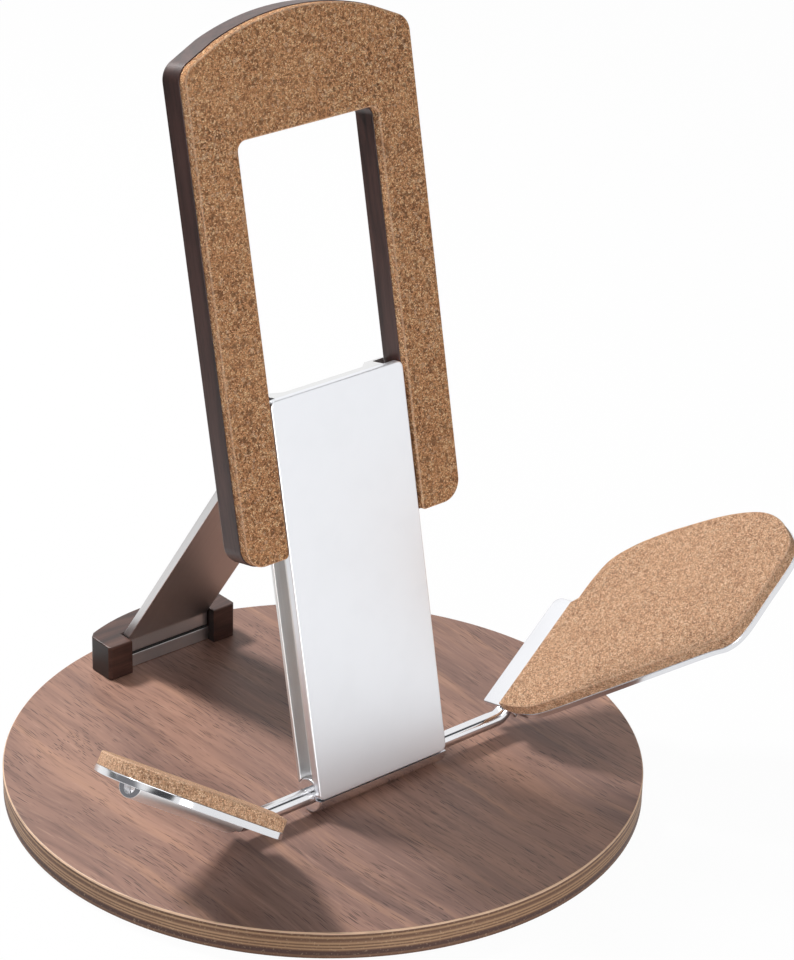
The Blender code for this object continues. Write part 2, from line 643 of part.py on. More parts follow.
def strut_piece(look):
    pivot = pivot_point()
    fold = Vector((0, FOOT_Y, BOARD_TOP + FOLD_HEIGHT))
    reach = pivot - fold
    span = math.hypot(reach.y, reach.z)
    tilt = math.atan2(-reach.y, reach.z) - math.asin(STRUT_OFFSET / span)
    down = Vector((0, math.sin(tilt), -math.cos(tilt)))
    back = Vector((0, math.cos(tilt), math.sin(tilt)))
    head = pivot + STRUT_OFFSET * back - 1.0 * down
    foot_z = BOARD_TOP + BAR_HEIGHT + 0.2 + PAD_STRIP + 0.1
    rear_fold_z = fold.z + STRUT_THICK * math.tan(tilt / 2)
    rear_head = head + STRUT_THICK * back
    corners = [(head.y, head.z, 0.8), (fold.y, fold.z, 3.0), (FOOT_Y, foot_z, 0.8),
               (FOOT_Y + STRUT_THICK, foot_z, 0.8), (FOOT_Y + STRUT_THICK, rear_fold_z, 7.0),
               (rear_head.y, rear_head.z, 0.8)]
    body = prism(rounded(corners, 6), -STRUT_HALF, STRUT_HALF, UPRIGHT, 0.4, 0.4, 1)
    lug_frame = axes(down, -back, -SIDE, pivot)
    turn_low = -STRUT_OFFSET - 1.0
    lug = arc(KNUCKLE_RADIUS, 0, 180, 10) + [(-KNUCKLE_RADIUS + 1.9, turn_low), (KNUCKLE_RADIUS, turn_low)]
    for side in (-1, 1):
        near, far = sorted((side * LUG_INNER, side * LUG_OUTER))
        body = join(body, prism(lug, near, far, lug_frame))
    body = cut(body, prism(circle(PIVOT_RADIUS + RUN, 16), -30, 30, lug_frame))
    make("strut_plate", body, pivot, look["satin_aluminium"])


def yoke_outline(inset=0.0):
    """Outline of the yoke as (x, v) points, going round from the left foot."""
    half = YOKE_HALF - inset
    inner = YOKE_WINDOW_HALF + inset
    foot = YOKE_FOOT + inset
    crown = YOKE_CROWN - inset
    shoulder = YOKE_SHOULDER - inset
    rise = crown - shoulder
    reach = (half ** 2 + rise ** 2) / (2 * rise)
    swing = math.degrees(math.asin(half / reach))
    top = arc(reach, 90 + swing, 90 - swing, 18, 0.0, crown - reach)
    corners = [(-inner, foot, 2.0), (-half, foot, 10.0)]
    corners += [(top[0][0], top[0][1], 9.0)] + [(x, y, 0.0) for x, y in top[3:-3]]
    corners += [(top[-1][0], top[-1][1], 9.0), (half, foot, 10.0), (inner, foot, 2.0)]
    corners += [(inner, YOKE_WINDOW_TOP + inset, 4.5), (-inner, YOKE_WINDOW_TOP + inset, 4.5)]
    return rounded(corners, 5)


def glide_screw_spots():
    low = YOKE_FOOT + GLIDE_LOW
    return [low + 0.17 * GLIDE_LONG, low + 0.83 * GLIDE_LONG]


def yoke_pieces(look):
    home = AXIS + YOKE_FOOT * UP
    frame_low = COLUMN_REAR
    wood = prism(yoke_outline(), frame_low, YOKE_WOOD_FRONT, COLUMN_FACE, 1.2, 0.3, 1)
    cork = prism(yoke_outline(0.4), YOKE_WOOD_FRONT + 0.2, YOKE_CORK_FRONT, COLUMN_FACE, 0.0, 1.0, 2)
    groove_low = COLUMN_REAR + RAIL_THICK + 0.35
    groove_high = WEB_FRONT - FRONT_LIP - 0.35
    middle = (groove_low + groove_high) / 2
    glide_near = GROOVE_BOTTOM_HALF + 0.5
    glide_far = YOKE_WINDOW_HALF - GAP
    for side, word in ((-1, "left"), (1, "right")):
        low = YOKE_FOOT + GLIDE_LOW
        high = low + GLIDE_LONG
        near, far = sorted((side * glide_near, side * glide_far))
        plan = rounded([(near, low, 0.8), (far, low, 0.8), (far, high, 0.8), (near, high, 0.8)], 3)
        glide = prism(plan, groove_low, groove_high, COLUMN_FACE, 0.5, 0.5, 1)
        for k, v in enumerate(glide_screw_spots()):
            spot = AXIS + side * glide_near * SIDE + v * UP + middle * OUT
            frame = along(-side * SIDE, spot)
            glide = cut(glide, countersink(2.6, 1.4, 30.0, frame))
            wood = cut(wood, turned([(0, -4), (1.4 + GAP, -4), (1.4 + GAP, -18), (0, -18)], frame, 10))
            make("glide_screw_%s_%d" % (word, k + 1), countersunk(2.6, 1.4, 17.0, frame), home,
                 look["zinc_screw"])
        make("yoke_glide_" + word, glide, home, look["black_plastic"])
    make("yoke_frame", wood, home, look["dark_walnut"])
    make("yoke_cork", cork, home, look["cork"])


def cork_plan(grow=0.0):
    """Outline of a leaf's cork as (a, b) points: along the rod first, then forward."""
    run = [(67.5, 9.0), (79.0, 9.4), (92.0, 12.0), (103.0, 20.5), (111.0, 30.0), (118.0, 40.0),
           (130.0, 60.5), (136.0, 78.5), (134.5, 92.0), (127.0, 104.0), (122.0, 107.6), (114.0, 109.2),
           (95.0, 109.3), (76.0, 109.3), (66.5, 105.5), (60.5, 97.0), (42.0, 73.5), (24.0, 50.5),
           (7.5, 29.0), (3.6, 19.0), (2.5, 10.5)]
    edge = smooth_run(run, 3)
    if grow > 0:
        count = len(edge)
        moved = []
        for k in range(count):
            step = Vector(edge[min(k + 1, count - 1)]) - Vector(edge[max(k - 1, 0)])
            step.normalize()
            moved.append((edge[k][0] + grow * step.y, edge[k][1] - grow * step.x))
        edge = moved
    return edge


def leaf_pieces(look):
    border = 6.0
    for side, word in ((-1, "left"), (1, "right")):
        plan = leaf_plan(side)
        section = leaf_section(side)
        edge = cork_plan(PLATE_MARGIN)
        strip = rounded([(STRIP_START, border, 0.0), (STRIP_START, STRIP_REAR, 1.2),
                         (STRIP_END, STRIP_REAR, 4.5), (STRIP_END, border, 0.0)], 6)[1:]
        outline = strip + edge[1:-3] + [(STRIP_START, 14.0)]
        plate = prism([(b, a) for a, b in outline], LEAF_LOW, LEAF_TOP, plan, 0.4, 0.6, 1)
        d_shape = [(LEAF_LOW + 1.0, -SLEEVE_HALF), (LEAF_LOW + 1.0, SLEEVE_HALF)]
        flat = SLEEVE_DEPTH / SLEEVE_HALF
        d_shape += [(-x * flat, y) for x, y in arc(SLEEVE_HALF, 90, -90, 16)]
        body = join(plate, prism(d_shape, SLEEVE_START, SLEEVE_END, section, 0.3, 0.3, 1))
        body = cut(body, prism(circle(ROD_RADIUS + RUN, ROD_FACETS), STRIP_START - 3, SLEEVE_END + 4, section))
        stop = [(0.0, 0.0)] + [(h, b) for b, h in arc(SLEEVE_HALF + 2.0, -27.5, -153.0, 6)]
        body = cut(body, prism(stop, SLEEVE_START - 1, 7.2, section))
        along_rod, square, elbow = leaf_directions(side)
        seat = elbow + (ROD_GROOVE[0] + ROD_GROOVE[1]) / 2 * along_rod - (SLEEVE_DEPTH + 0.05) * square
        frame = along(-square, seat)
        long = SLEEVE_DEPTH + 0.05 - (ROD_RADIUS - GROOVE_DEEP + 0.35)
        body = cut(body, turned([(0, 1), (1.7, 1), (1.7, -long - 0.5), (0, -long - 0.5)], frame, 10))
        make("leaf_plate_" + word, body, elbow, look["brushed_aluminium"])
        grub = cut(turned([(0, 0), (1.3, 0), (1.5, -0.2), (1.5, 0.4 - long), (1.0, -long), (0, -long)], frame, 10),
                   hex_socket(0.8, -1.2, 1.0, frame))
        make("leaf_grub_" + word, grub, elbow, look["zinc_screw"])
        pad_edge = [(2.5, border), (64.0, border)] + cork_plan()
        pad = prism([(b, a) for a, b in pad_edge], LEAF_TOP + 0.2, LEAF_CORK_TOP, plan, 0.0, 0.9, 2)
        make("leaf_cork_" + word, pad, elbow, look["cork"])


def finishes():
    return {
        "walnut_ply": finish("walnut_ply", (0.33, 0.21, 0.15), 0.0, 0.5),
        "dark_walnut": finish("dark_walnut", (0.09, 0.05, 0.04), 0.0, 0.4),
        "cork": finish("cork", (0.48, 0.29, 0.15), 0.0, 0.85),
        "brushed_aluminium": finish("brushed_aluminium", (0.85, 0.85, 0.87), 1.0, 0.3),
        "satin_aluminium": finish("satin_aluminium", (0.72, 0.71, 0.71), 1.0, 0.35),
        "polished_steel": finish("polished_steel", (0.8, 0.8, 0.82), 1.0, 0.12),
        "dark_steel": finish("dark_steel", (0.3, 0.3, 0.31), 1.0, 0.4),
        "zinc_screw": finish("zinc_screw", (0.6, 0.6, 0.62), 1.0, 0.3),
        "black_rubber": finish("black_rubber", (0.03, 0.03, 0.03), 0.0, 0.8),
        "black_plastic": finish("black_plastic", (0.05, 0.05, 0.05), 0.0, 0.5),
    }


def build():
    clear_scene()
    look = finishes()
    base_pieces(look)
    bracket_pieces(look)
    arm_pieces(look)
    holder_pieces(look)
    column_pieces(look)
    strut_piece(look)
    yoke_pieces(look)
    leaf_pieces(look)


build()
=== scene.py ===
"""Folding guitar stand: walnut plywood base, aluminium column and strut, cork-faced yoke and leaves.

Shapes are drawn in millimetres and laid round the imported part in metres. +X is to the right
seen from the front, +Y is to the rear and +Z is up.
"""
import math

import bmesh
import bpy
from mathutils import Matrix, Vector
from mathutils.geometry import delaunay_2d_cdt


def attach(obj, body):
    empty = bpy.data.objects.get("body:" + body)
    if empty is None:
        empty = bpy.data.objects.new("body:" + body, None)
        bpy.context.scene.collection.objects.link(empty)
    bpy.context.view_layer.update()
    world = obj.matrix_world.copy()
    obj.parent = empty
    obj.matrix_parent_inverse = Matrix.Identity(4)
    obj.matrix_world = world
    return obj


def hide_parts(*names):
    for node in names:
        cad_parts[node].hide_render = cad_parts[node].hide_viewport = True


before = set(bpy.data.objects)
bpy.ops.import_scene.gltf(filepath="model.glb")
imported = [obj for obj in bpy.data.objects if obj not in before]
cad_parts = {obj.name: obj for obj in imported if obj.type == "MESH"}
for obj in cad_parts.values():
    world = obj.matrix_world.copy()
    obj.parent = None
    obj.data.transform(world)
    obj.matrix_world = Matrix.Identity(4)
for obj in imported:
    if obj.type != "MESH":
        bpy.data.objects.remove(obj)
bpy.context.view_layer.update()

MM = 0.001
GAP = 0.3                      # air between two pieces that rest on each other
RUN = 0.06                     # radial clearance of a rod in its bore
HAIR = 0.05                    # smallest step between two faces that lie close
SLIVER = 0.01                  # keeps two cuts from ending on the same face
SHARP = math.radians(35.0)     # edges that turn more than this are drawn sharp

# round base, with heights above the ground
BOARD_RADIUS = 150.0
BOARD_LOW = 1.5
BOARD_TOP = 15.0
BOARD_EDGE = 0.8
PAD_COUNT = 4
PAD_RADIUS = 11.0
PAD_CIRCLE = 122.0
PAD_POCKET_TOP = 2.5

# crossbar, hinge barrel and lean of the column
ROD_RADIUS = 4.0
BARREL_RADIUS = 8.3
BARREL_EDGE = 0.9
AXIS_Y = -36.1
AXIS_Z = 23.8
LEAN = math.radians(11.8)
EAR_SLOT = (6.0, 12.0)
EAR_SLOT_RADIUS = 12.0
EAR_SLOT_TURN = (-121, 57)
BRACKET_SCREW_Y = (AXIS_Y + 15.0, AXIS_Y + 28.0)

# column, measured along its own axes: v up the column, n out of its front
COLUMN_HALF = 37.8
COLUMN_HEIGHT = 187.7
PLATE_LOW = -1.2
PLATE_FRONT = 8.3
PLATE_BACK = 4.8
PLATE_CORNER = 3.0
WEB_FRONT = 4.5
EXTRUSION_LOW = 0.4
EXTRUSION_TOP = COLUMN_HEIGHT - 0.7
COLUMN_REAR = -7.2
CHANNEL_FLOOR = -2.0
CHANNEL_FLOOR_HALF = 22.5
CHANNEL_MOUTH_HALF = 27.8
GROOVE_BOTTOM_HALF = 31.0
RAIL_THICK = 2.0
FRONT_LIP = 1.0
FRONT_LIP_HALF = COLUMN_HALF - 0.4
TONGUE_HALF = 19.7
TONGUE_HEIGHT = 29.0
PLATE_SCREW_X = 14.0
PLATE_SCREW_V = (0.3 * COLUMN_HEIGHT, 0.76 * COLUMN_HEIGHT)
BARREL_SCREW_X = 12.0
BARREL_SCREW_V = 0.7 * TONGUE_HEIGHT

# bent arms
ROD_START = 3.0                # from the middle of the stand
ROD_CHAMFER = 0.6
ELBOW_HALF = 77.5
BEND = math.radians(34.8)
BEND_RADIUS = 10.0
BEND_STEPS = 24
ROD_LENGTH = 63.3              # from the elbow to the free end
ROD_GROOVE = (28.0, 32.0)
GROOVE_DEEP = 0.8
ROD_END = ((0.8, 0.0), (0.5, 0.1), (0.2, 0.35), (0.0, 0.8))    # distance to the end, and how much slimmer

# leaves, measured from the elbow: a along the rod, b forward, h square to the leaf
LEAF_LOW = 1.5
LEAF_TOP = 4.7
LEAF_CORK_TOP = 10.6
SLEEVE_HALF = 8.0
SLEEVE_DEPTH = 5.7
SLEEVE_START = 4.0
SLEEVE_END = 66.5
STRIP_START = 3.5
STRIP_END = 68.0
STRIP_REAR = -10.8
STRIP_SIDE_END = 14.0
CORK_START = 6.0
CORK_REAR_EDGE = (2.5, 64.0)
PLATE_MARGIN = 0.4
STOP_SLOT_END = 7.2
STOP_SLOT_RADIUS = 10.0
STOP_SLOT_TURN = (-27.5, -153.0)
GRUB_ALONG = 30.0
CORK_RIM = ((67.5, 9.0), (79.0, 9.4), (92.0, 12.0), (103.0, 20.5), (111.0, 30.0), (118.0, 40.0),
            (130.0, 60.5), (136.0, 78.5), (134.5, 92.0), (127.0, 104.0), (122.0, 107.6), (114.0, 109.2),
            (95.0, 109.3), (76.0, 109.3), (66.5, 105.5), (60.5, 97.0), (42.0, 73.5), (24.0, 50.5),
            (7.5, 29.0), (3.6, 19.0), (2.5, 10.5))

# yoke, in the column's directions
YOKE_HALF = 62.1
YOKE_FOOT = 116.0
YOKE_SHOULDER = 338.4
YOKE_CROWN = 354.5
YOKE_WINDOW_HALF = 38.5
YOKE_WINDOW_TOP = 303.0
YOKE_WOOD_FRONT = 5.3
YOKE_CORK_FRONT = 9.9
YOKE_CORK_MARGIN = 0.4
YOKE_TOE_RADIUS = 10.0
YOKE_HEEL_RADIUS = 2.0
YOKE_SHOULDER_RADIUS = 9.0
YOKE_WINDOW_RADIUS = 4.5

# rear strut and the holder of its foot
PIVOT_V = 174.0
PIVOT_N = -5.2
PIVOT_RADIUS = 1.5
PIVOT_BORE_HALF = 30.5
KNUCKLE_RADIUS = 2.9
KNUCKLE_ROOT = 5.0
KNUCKLE_SIDES = (18.3, 22.2)
STRUT_HALF = 24.5
STRUT_THICK = 4.0
STRUT_OFFSET = 4.0             # from the pivot axis to the front face of the plate
STRUT_RISE = 1.0               # the plate's upper end above the pivot axis
FOOT_Y = 121.7
FOLD_HEIGHT = 16.0
FOLD_RADIUS = 3.0
HOLDER_FRONT = 117.0
HOLDER_SIDE_REAR = 134.0
HOLDER_REAR = 142.0
HOLDER_HALF = 38.4
HOLDER_GAP_HALF = 25.0
HOLDER_HEIGHT = 18.2
HOLDER_CORNER = 3.0
HOLDER_CHAMFER = 1.5
BAR_HEIGHT = 7.0
BAR_HALF = HOLDER_GAP_HALF + 1.6
FOOT_Z = BOARD_TOP + BAR_HEIGHT + 1.5

# holes as (radius, height) profiles
HOLDER_SCREW_HOLE = [(0, 0), (4.9, 0), (4.3, 1.5), (2.3, 3.8), (2.3, 30), (0, 30)]
BRACKET_SCREW_HOLE = [(0, 5.5), (2.1, 5.5), (2.1, 20), (0, 20)]
COUNTERSUNK_HOLE = [(0, 1.0), (3.9, 1.0), (3.3, 0), (3.3, -0.3), (1.8, -1.8), (1.8, -12), (0, -12)]
GRUB_HOLE = [(0, 1), (1.7, 1), (1.7, -3), (0, -3)]

SIDE = Vector((1, 0, 0))
UP = Vector((0, math.sin(LEAN), math.cos(LEAN)))
OUT = Vector((0, -math.cos(LEAN), math.sin(LEAN)))
AXIS = Vector((0, AXIS_Y, AXIS_Z))
SIDES = ((-1, "left"), (1, "right"))


def axes(first, second, third, origin):
    """Matrix that puts drawing directions a, b and c along the given directions."""
    return Matrix.Translation(origin) @ Matrix((first, second, third)).transposed().to_4x4()


FLAT = Matrix.Identity(4)
COLUMN_FACE = axes(SIDE, UP, OUT, AXIS)
COLUMN_SECTION = axes(OUT, SIDE, UP, AXIS)
COLUMN_EDGE = axes(UP, OUT, SIDE, AXIS)
UPRIGHT = axes(Vector((0, 1, 0)), Vector((0, 0, 1)), SIDE, Vector((0, 0, 0)))
AXIS_UPRIGHT = axes(Vector((0, 1, 0)), Vector((0, 0, 1)), SIDE, AXIS)


def facing(direction, origin):
    """Frame at a point with its c axis along a direction, for a screw or a hole."""
    turn = Vector(direction).to_track_quat("Z", "Y").to_matrix().to_4x4()
    return Matrix.Translation(origin) @ turn


def leaf_directions(side):
    """Along the arm's rod, square to the leaf, and the elbow that both are measured from."""
    along = math.cos(BEND) * side * SIDE + math.sin(BEND) * UP
    square = -math.sin(BEND) * side * SIDE + math.cos(BEND) * UP
    return along, square, AXIS + side * ELBOW_HALF * SIDE


def leaf_plan(side):
    along, square, elbow = leaf_directions(side)
    return axes(OUT, along, square, elbow)


def leaf_section(side):
    along, square, elbow = leaf_directions(side)
    return axes(square, OUT, along, elbow)


def rounded(corners, steps=10):
    """Closed outline through corners (x, y, radius), each one turned by an arc."""
    points = []
    count = len(corners)
    for index in range(count):
        x, y, radius = corners[index]
        here = Vector((x, y))
        if radius <= 0:
            points.append((x, y))
            continue
        before = (Vector(corners[index - 1][:2]) - here).normalized()
        after = (Vector(corners[(index + 1) % count][:2]) - here).normalized()
        half = before.angle(after) / 2
        centre = here + (before + after).normalized() * radius / math.sin(half)
        start = here + before * radius / math.tan(half) - centre
        end = here + after * radius / math.tan(half) - centre
        sweep = start.angle_signed(end)
        for step in range(steps + 1):
            spun = Matrix.Rotation(-sweep * step / steps, 2) @ start
            points.append((centre.x + spun.x, centre.y + spun.y))
    return points


def smooth_run(points, steps):
    """Points on a smooth curve through the given points."""
    ends = [points[0]] + list(points) + [points[-1]]
    run = []
    for index in range(1, len(ends) - 2):
        p0, p1, p2, p3 = (Vector(ends[index + k]) for k in (-1, 0, 1, 2))
        for step in range(steps):
            t = step / steps
            spot = 0.5 * (2 * p1 + (p2 - p0) * t + (2 * p0 - 5 * p1 + 4 * p2 - p3) * t * t
                          + (3 * p1 - p0 - 3 * p2 + p3) * t ** 3)
            run.append((spot.x, spot.y))
    run.append(tuple(points[-1]))
    return run


def circle(radius, count=64, x=0.0, y=0.0):
    turn = 2 * math.pi / count
    return [(x + radius * math.cos(turn * k), y + radius * math.sin(turn * k)) for k in range(count)]


def arc(radius, start, end, count, x=0.0, y=0.0):
    """Points on an arc between two angles in degrees."""
    points = []
    for k in range(count + 1):
        angle = math.radians(start + (end - start) * k / count)
        points.append((x + radius * math.cos(angle), y + radius * math.sin(angle)))
    return points


def settle(bm, home):
    """Move a drawn solid to its frame and turn its faces outwards."""
    bmesh.ops.transform(bm, matrix=home, verts=bm.verts)
    bmesh.ops.recalc_face_normals(bm, faces=bm.faces)
    return bm


def signed_area(loop):
    return 0.5 * sum(loop[k - 1][0] * loop[k][1] - loop[k][0] * loop[k - 1][1] for k in range(len(loop)))


def inset(loop, width):
    """The same outline moved inwards; the loop runs anticlockwise."""
    moved = []
    count = len(loop)
    for k in range(count):
        here = Vector(loop[k])
        before = (here - Vector(loop[k - 1])).normalized()
        after = (Vector(loop[(k + 1) % count]) - here).normalized()
        inward = Vector((-before.y - after.y, before.x + after.x)).normalized()
        spread = max(0.35, inward.dot(Vector((-after.y, after.x))))
        spot = here + inward * width / spread
        moved.append((spot.x, spot.y))
    return moved


def edge_levels(low, high, low_edge, high_edge, segments):
    """(inset, height) of each ring of a prism whose rims are rounded over."""
    levels = []
    for k in range(segments + 1) if low_edge > 0 else (segments,):
        turn = math.pi / 2 * k / segments
        levels.append((low_edge * (1 - math.sin(turn)), low + low_edge * (1 - math.cos(turn))))
    for k in range(segments, -1, -1) if high_edge > 0 else (segments,):
        turn = math.pi / 2 * k / segments
        levels.append((high_edge * (1 - math.sin(turn)), high - high_edge * (1 - math.cos(turn))))
    return levels


def bridge(bm, lower, upper):
    """Band of faces between two rings with the same number of points."""
    count = len(lower)
    for k in range(count):
        nxt = (k + 1) % count
        bm.faces.new((lower[k], lower[nxt], upper[nxt], upper[k]))


def prism(loop, low, high, home=FLAT, low_edge=0.0, high_edge=0.0, segments=4):
    """Solid with the outline drawn in a, b and its length along c."""
    if signed_area(loop) < 0:
        loop = list(reversed(loop))
    bm = bmesh.new()
    rings = []
    for width, height in edge_levels(low, high, low_edge, high_edge, segments):
        drawn = inset(loop, width) if width > 0 else loop
        rings.append([bm.verts.new((a, b, height)) for a, b in drawn])
    for lower, upper in zip(rings, rings[1:]):
        bridge(bm, lower, upper)
    for ring in (rings[0], rings[-1]):
        flat = [Vector((v.co.x, v.co.y)) for v in ring]
        kept = delaunay_2d_cdt(flat, [], [list(range(len(loop)))], 1, 1e-7)
        names = [origin[0] for origin in kept[3]]
        for triangle in kept[2]:
            bm.faces.new([ring[names[k]] for k in triangle])
    return settle(bm, home)


def turned(profile, home=FLAT, count=48):
    """Solid of revolution about c from (radius, height) pairs that start and end on the axis."""
    bm = bmesh.new()
    rings = []
    for radius, height in profile:
        if radius <= 0:
            rings.append([bm.verts.new((0, 0, height))])
        else:
            rings.append([bm.verts.new((x, y, height)) for x, y in circle(radius, count)])
    for lower, upper in zip(rings, rings[1:]):
        if len(lower) == len(upper):
            bridge(bm, lower, upper)
            continue
        for k in range(count):
            nxt = (k + 1) % count
            if len(lower) == 1:
                bm.faces.new((lower[0], upper[nxt], upper[k]))
            else:
                bm.faces.new((lower[k], lower[nxt], upper[0]))
    return settle(bm, home)


def scratch(bm):
    """Object that holds a solid while it is joined or cut."""
    mesh = bpy.data.meshes.new("scratch")
    bm.to_mesh(mesh)
    bm.free()
    item = bpy.data.objects.new("scratch", mesh)
    bpy.context.scene.collection.objects.link(item)
    return item


def combine(body, tool, way):
    """Exact join or cut of two solids."""
    first = scratch(body)
    second = scratch(tool)
    modifier = first.modifiers.new("combine", "BOOLEAN")
    modifier.operation = way
    modifier.solver = "EXACT"
    modifier.object = second
    bpy.context.view_layer.update()
    ready = first.evaluated_get(bpy.context.evaluated_depsgraph_get())
    mesh = bpy.data.meshes.new_from_object(ready)
    result = bmesh.new()
    result.from_mesh(mesh)
    bmesh.ops.remove_doubles(result, verts=result.verts, dist=1e-4)
    for item in (first, second):
        bpy.data.objects.remove(item, do_unlink=True)
    return result


def cut(body, *tools):
    for tool in tools:
        body = combine(body, tool, "DIFFERENCE")
    return body


def join(body, *tools):
    for tool in tools:
        body = combine(body, tool, "UNION")
    return body


def metres(home):
    return Matrix.Translation(home.translation * MM) @ home.to_3x3().to_4x4()


def place(name, bm, home, finishes, body, slot, *stands_for, pick=None):
    """Piece whose mesh is kept in its home frame and which rides on a body of the part."""
    bmesh.ops.transform(bm, matrix=Matrix.Scale(MM, 4) @ home.inverted(), verts=bm.verts)
    bmesh.ops.recalc_face_normals(bm, faces=bm.faces)
    if pick:
        for face in bm.faces:
            face.material_index = pick(face)
    mesh = bpy.data.meshes.new(name)
    bm.to_mesh(mesh)
    bm.free()
    mesh.polygons.foreach_set("use_smooth", [True] * len(mesh.polygons))
    mesh.set_sharp_from_angle(angle=SHARP)
    for finish in finishes:
        mesh.materials.append(finish)
    item = bpy.data.objects.new(name, mesh)
    item.matrix_world = metres(home)
    bpy.context.scene.collection.objects.link(item)
    weighted = item.modifiers.new("flat faces stay flat", "WEIGHTED_NORMAL")
    weighted.keep_sharp = True
    weighted.weight = 80
    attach(item, body)
    if stands_for:
        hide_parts(*stands_for)
    return item


def shade(red, green, blue):
    """Linear colour of an 8-bit screen colour."""
    linear = []
    for part in (red, green, blue):
        part = part / 255
        linear.append(part / 12.92 if part <= 0.04045 else ((part + 0.055) / 1.055) ** 2.4)
    return tuple(linear)


def deeper(colour, share):
    return tuple(part * share for part in colour)


class Wire:
    """Output of one node; sums and products of wires add the nodes that work them out."""

    def __init__(self, tree, socket):
        self.tree = tree
        self.socket = socket

    def math(self, operation, *terms):
        return self.tree.node("ShaderNodeMath", {"operation": operation}, dict(enumerate(terms)))

    def __add__(self, other):
        return self.math("ADD", self, other)

    def __radd__(self, other):
        return self.math("ADD", other, self)

    def __sub__(self, other):
        return self.math("SUBTRACT", self, other)

    def __rsub__(self, other):
        return self.math("SUBTRACT", other, self)

    def __mul__(self, other):
        return self.math("MULTIPLY", self, other)

    def __rmul__(self, other):
        return self.math("MULTIPLY", other, self)

    def __truediv__(self, other):
        return self.math("DIVIDE", self, other)

    def __rtruediv__(self, other):
        return self.math("DIVIDE", other, self)

    def most(self, other):
        return self.math("MAXIMUM", self, other)

    def size(self):
        return self.math("ABSOLUTE", self)

    def rise(self, low, high):
        """0 below low, 1 above high, smooth between."""
        return self.tree.node("ShaderNodeMapRange", {"interpolation_type": "SMOOTHSTEP"},
                              {"Value": self, "From Min": low, "From Max": high})


class Tree:
    """The nodes of a material or of the world."""

    def __init__(self, tree):
        self.tree = tree

    def node(self, kind, settings=(), values=(), output=0):
        """New node: its settings first, then what its sockets hold or are fed; gives one output."""
        made = self.tree.nodes.new(kind)
        for name, value in dict(settings).items():
            if name == "stops":
                self.set_stops(made.color_ramp, value)
            else:
                setattr(made, name, value)
        for name, value in dict(values).items():
            self.feed(made.inputs[name], value)
        return Wire(self, made.outputs[output])

    def set_stops(self, band, stops):
        while len(band.elements) < len(stops):
            band.elements.new(0.5)
        for element, (where, colour) in zip(band.elements, stops):
            element.position = where
            element.color = (*colour, 1)

    def feed(self, socket, value):
        if isinstance(value, Wire):
            self.tree.links.new(value.socket, socket)
        elif socket.type == "RGBA":
            socket.default_value = (*value, 1)
        else:
            socket.default_value = value

    def split(self, vector):
        """The x, y and z of a vector, or the red, green and blue of a colour."""
        first = self.node("ShaderNodeSeparateXYZ", (), {0: vector})
        return [Wire(self, socket) for socket in first.socket.node.outputs]

    def stretch(self, vector, scale):
        return self.node("ShaderNodeMapping", (), {"Vector": vector, "Scale": scale})

    def shift(self, vector, amount):
        return self.node("ShaderNodeVectorMath", {"operation": "ADD"}, {0: vector, 1: amount})

    def times(self, vector, number):
        return self.node("ShaderNodeVectorMath", {"operation": "SCALE"}, {0: vector, "Scale": number})

    def noise(self, vector, scale, detail=3.0, rough=0.55, output="Fac"):
        return self.node("ShaderNodeTexNoise", (),
                         {"Vector": vector, "Scale": scale, "Detail": detail, "Roughness": rough}, output)

    def grains(self, vector, scale, output="Distance", feature="F1"):
        return self.node("ShaderNodeTexVoronoi", {"feature": feature}, {"Vector": vector, "Scale": scale},
                         output)

    def blend(self, first, second, amount):
        return self.node("ShaderNodeMix", {"data_type": "RGBA"}, {0: amount, 6: first, 7: second}, 2)

    def ramp(self, value, stops):
        return self.node("ShaderNodeValToRGB", {"stops": stops}, {0: value}, "Color")

    def bump(self, height, depth, strength):
        return self.node("ShaderNodeBump", (), {"Height": height, "Distance": depth, "Strength": strength})


class Finish(Tree):
    """A material and the nodes that paint it."""

    def __init__(self, name):
        self.material = bpy.data.materials.new(name)
        self.material.use_nodes = True
        super().__init__(self.material.node_tree)
        self.shader = self.tree.nodes["Principled BSDF"]
        self.spot = self.node("ShaderNodeTexCoord", output="Object")

    def set(self, **values):
        for name, value in values.items():
            self.feed(self.shader.inputs[name.replace("_", " ").title()], value)

    def wander(self, scale, reach):
        """Slow drift in all directions, at most half of reach, in metres."""
        cloud = self.noise(self.spot, scale, 2.0, output="Color")
        return self.times(self.shift(cloud, (-0.5, -0.5, -0.5)), reach)


